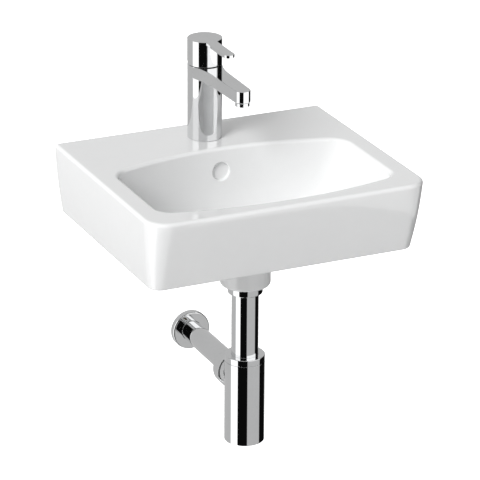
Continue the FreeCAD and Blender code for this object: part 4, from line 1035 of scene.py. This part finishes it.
def back_wedge(reach):
    """A prism that takes the rear of the handle's lower edge away."""
    rise = reach * math.tan(BACK_SLOPE)
    work = bmesh.new()
    corners = [(0, 0), (reach, -rise * WEDGE_DROP_SHARE), (reach, rise)]
    sides = [[work.verts.new((x, TAP_Y + y, handle_low + z)) for y, z in corners] for x in (-reach, reach)]
    for side in sides:
        work.faces.new(side)
    weave(work, *sides)
    bmesh.ops.recalc_face_normals(work, faces=work.faces)
    return work


handle = combined(handle, back_wedge(WEDGE_REACH), "DIFFERENCE")
for radius, length, along_axis, height, turn in handle_holes:
    centre = (0, TAP_Y + along_axis * MM, handle_low + height * MM)
    handle = combined(handle, drills([(radius * MM, centre, turn)], length * MM), "DIFFERENCE")
finish_piece(handle, "handle_cup", "chrome", "handle", ["tap_handle"])

# %% [markdown]
# ## The pieces that keep their plain form
# Everything else starts from the frame's own solids. What never shows still gets its
# true finish, because a part in a library is opened, turned and taken apart. One table
# gives each slot of the record its finish.

# %% Dress the frame's own pieces
finish_by_slot = {
    "glazed_ceramic": "glaze", "chrome_plate": "chrome", "black_rubber": "rubber",
    "white_plastic": "white_plastic", "dark_plastic": "dark_plastic", "steel": "steel",
    "brass": "brass", "cartridge_plastic": "grey_plastic", "button_chrome": "chrome",
}
for name, node in nodes.items():
    node.data.materials.clear()
    node.data.materials.append(finishes[finish_by_slot[slot_by_node[name]]])
print("dressed", len(nodes), "nodes")

# %% [markdown]
# ## What the chrome sees
# Polished chrome has no colour of its own: it shows the studio. The upright white and
# black stripes on the tap and the trap suggest tall white panels and black flags around
# the basin. A stripe's place on the round tap hints at the bearing of its panel, since a
# mirror turns a ray by twice the angle of its surface. The world below paints guessed
# bearings for glossy rays, gives matte surfaces a light that fades toward one side, and
# shows the camera plain white.

# %% Paint the studio into the world
STUDIO_GREY = 0.56
PANEL_WHITE = 1.5
FLAG_BLACK = 0.004
EVEN_LIGHT = 0.65
EVEN_LEAN = 0.55
DARK_LIFT = math.radians(42)
# Where each panel starts, in degrees to the right of the camera as seen from the basin.
panels = [(-180.0, STUDIO_GREY), (-84.0, PANEL_WHITE), (-40.0, FLAG_BLACK), (16.0, STUDIO_GREY),
          (93.0, FLAG_BLACK), (150.0, STUDIO_GREY)]
PANEL_EDGE = 1.2
PANEL_TOP = 0.60
PANEL_TOP_EDGE = 0.06
FULL_TURN = 360.0

world = bpy.data.worlds.new("studio")
bpy.context.scene.world = world
world.use_nodes = True
tree = world.node_tree
tree.nodes.clear()


def angle_ramp(tree, stops, edge):
    """A colour ramp over a full turn that changes grey level at each stop."""
    ramp = tree.nodes.new("ShaderNodeValToRGB")
    elements = ramp.color_ramp.elements
    marks = [(0.0, stops[0][1])]
    for (_, before), (angle, level) in zip(stops, stops[1:]):
        middle, half_edge = angle / FULL_TURN + 0.5, edge / FULL_TURN / 2
        marks += [(middle - half_edge, before), (middle + half_edge, level)]
    marks.append((1.0, stops[-1][1]))
    while len(elements) < len(marks):
        elements.new(0.5)
    for element, (position, level) in zip(elements, marks):
        element.position = position
        element.color = (level, level, level, 1)
    return ramp


def along(tree, source, direction):
    """The part of a vector socket that points along a fixed direction."""
    product = add_node(tree, "ShaderNodeVectorMath", operation="DOT_PRODUCT")
    tree.links.new(source, product.inputs[0])
    product.inputs[1].default_value = direction
    return product.outputs["Value"]


toward_camera = (-math.sin(CAMERA_TURN), -math.cos(CAMERA_TURN), 0)
to_the_right = (math.cos(CAMERA_TURN), -math.sin(CAMERA_TURN), 0)
ray = tree.nodes.new("ShaderNodeTexCoord").outputs["Generated"]
bearing = add_node(tree, "ShaderNodeMath", operation="ARCTAN2")
tree.links.new(along(tree, ray, to_the_right), bearing.inputs[0])
tree.links.new(along(tree, ray, toward_camera), bearing.inputs[1])
turn_share = remapped(tree, bearing.outputs[0], from_min=-math.pi, from_max=math.pi)
ramp = angle_ramp(tree, panels, PANEL_EDGE)
tree.links.new(turn_share, ramp.inputs["Fac"])
above = remapped(tree, along(tree, ray, (0, 0, 1)), from_min=PANEL_TOP, from_max=PANEL_TOP + PANEL_TOP_EDGE)
room = mixed(tree, "RGBA", above, ramp.outputs["Color"], (STUDIO_GREY, STUDIO_GREY, STUDIO_GREY, 1))


def light_for(tree, path_output, chosen, otherwise):
    """Uses one shader for rays of one kind and another for the rest."""
    mix = tree.nodes.new("ShaderNodeMixShader")
    path = tree.nodes.new("ShaderNodeLightPath")
    tree.links.new(path.outputs[path_output], mix.inputs[0])
    tree.links.new(otherwise, mix.inputs[1])
    tree.links.new(chosen, mix.inputs[2])
    return mix.outputs[0]


def background(tree, level, source=None):
    """A background shader of a grey level, or of a colour socket."""
    shader = tree.nodes.new("ShaderNodeBackground")
    shader.inputs["Color"].default_value = (level, level, level, 1)
    if source is not None:
        tree.links.new(source, shader.inputs["Color"])
    return shader.outputs[0]


dark_side = Vector(to_the_right) * math.cos(DARK_LIFT) + Vector((0, 0, math.sin(DARK_LIFT)))
leaning = remapped(tree, along(tree, ray, dark_side), from_min=-1.0, from_max=1.0,
                   to_min=EVEN_LIGHT * (1 + EVEN_LEAN), to_max=EVEN_LIGHT * (1 - EVEN_LEAN))
seen = background(tree, EVEN_LIGHT, leaning)
seen = light_for(tree, "Is Glossy Ray", background(tree, 1.0, room), seen)
seen = light_for(tree, "Is Camera Ray", background(tree, 1.0), seen)
tree.links.new(seen, tree.nodes.new("ShaderNodeOutputWorld").inputs["Surface"])
print("panels:", len(panels))

# %% [markdown]
# ## Key light, card and floor
# One broad key light stands to the left, a little in front and well above. It makes the
# left side of the basin bright, leaves the left wall of the bowl in shade and throws the
# tap's soft shadow to the right. The floor lies where it would in a bathroom, far below,
# so it lights the underside but carries no shadow into the picture.

# %% Place the key light and the floor
KEY_POWER = 2.3
KEY_SOFTNESS = math.radians(30)
KEY_FROM = Vector((-0.70, -0.40, 0.58))
FLOOR_LEVEL = DECK - 0.85
FLOOR_REACH = 12.0
FLOOR_SEGMENTS = 64
FLOOR_GREY = 0.70
FLOOR_ROUGHNESS = 0.9


def plain_material(thing, name, grey, glow):
    """Gives an object a material without gloss, and returns the tree and its shader."""
    material = bpy.data.materials.new(name)
    material.use_nodes = True
    shader = material.node_tree.nodes["Principled BSDF"]
    shader.inputs["Base Color"].default_value = (grey, grey, grey, 1)
    shader.inputs["Specular IOR Level"].default_value = 0
    shader.inputs["Emission Color"].default_value = (glow, glow, glow, 1)
    thing.data.materials.append(material)
    return material.node_tree, shader


key_data = bpy.data.lights.new("key", "SUN")
key_data.energy = KEY_POWER
key_data.angle = KEY_SOFTNESS
key = bpy.data.objects.new("key", key_data)
key.rotation_euler = KEY_FROM.to_track_quat("Z", "Y").to_euler()
key.visible_glossy = False
bpy.context.scene.collection.objects.link(key)

floor_work = bmesh.new()
bmesh.ops.create_circle(floor_work, cap_ends=True, radius=FLOOR_REACH, segments=FLOOR_SEGMENTS,
                        matrix=Matrix.Translation((0, 0, FLOOR_LEVEL)))
floor = as_object(floor_work, "floor")
floor.visible_glossy = False
floor_tree, floor_shader = plain_material(floor, "pale_floor", FLOOR_GREY, 1)
floor_shader.inputs["Roughness"].default_value = FLOOR_ROUGHNESS
floor_path = floor_tree.nodes.new("ShaderNodeLightPath")
floor_tree.links.new(floor_path.outputs["Is Camera Ray"], floor_shader.inputs["Emission Strength"])
print("floor at", round(FLOOR_LEVEL, 3), "m")

# %% [markdown]
# ## A white card for the tap
# The tap has a broad white stripe on its right that the trap lacks, so we guess a second,
# smaller card close to the right of the tap. It is too high for the trap's upright walls
# to mirror. It is a curved sheet that only mirrors see.

# %% Place the card
CARD_DISTANCE = 0.5
CARD_BEARINGS = (20.0, 84.0)
CARD_HEIGHTS = (-0.15, 0.60)
CARD_COLUMNS = 33
CARD_LEVEL = 1.5


def card_point(bearing, height):
    """A place round the tap at a bearing to the right of the camera."""
    turn = math.radians(bearing)
    forward = Vector(toward_camera) * math.cos(turn) + Vector(to_the_right) * math.sin(turn)
    return Vector((0, TAP_Y, height)) + forward * CARD_DISTANCE


card_work = bmesh.new()
columns = [[card_work.verts.new(card_point(bearing, height)) for height in CARD_HEIGHTS]
           for bearing in np.linspace(*CARD_BEARINGS, CARD_COLUMNS)]
for column, following in zip(columns, columns[1:]):
    card_work.faces.new((column[0], following[0], following[1], column[1]))
card = as_object(card_work, "tap_card")
for sight in ("camera", "diffuse", "transmission", "volume_scatter", "shadow"):
    setattr(card, "visible_" + sight, False)
_, card_shader = plain_material(card, "white_card", 0, CARD_LEVEL)
card_shader.inputs["Emission Strength"].default_value = 1
print("card has", len(card.data.polygons), "faces")

# %% [markdown]
# ## Bring the scene up to date
# The view layer is updated once more, so every piece stands where it was placed.

# %% Bring the scene up to date
bpy.context.view_layer.update()
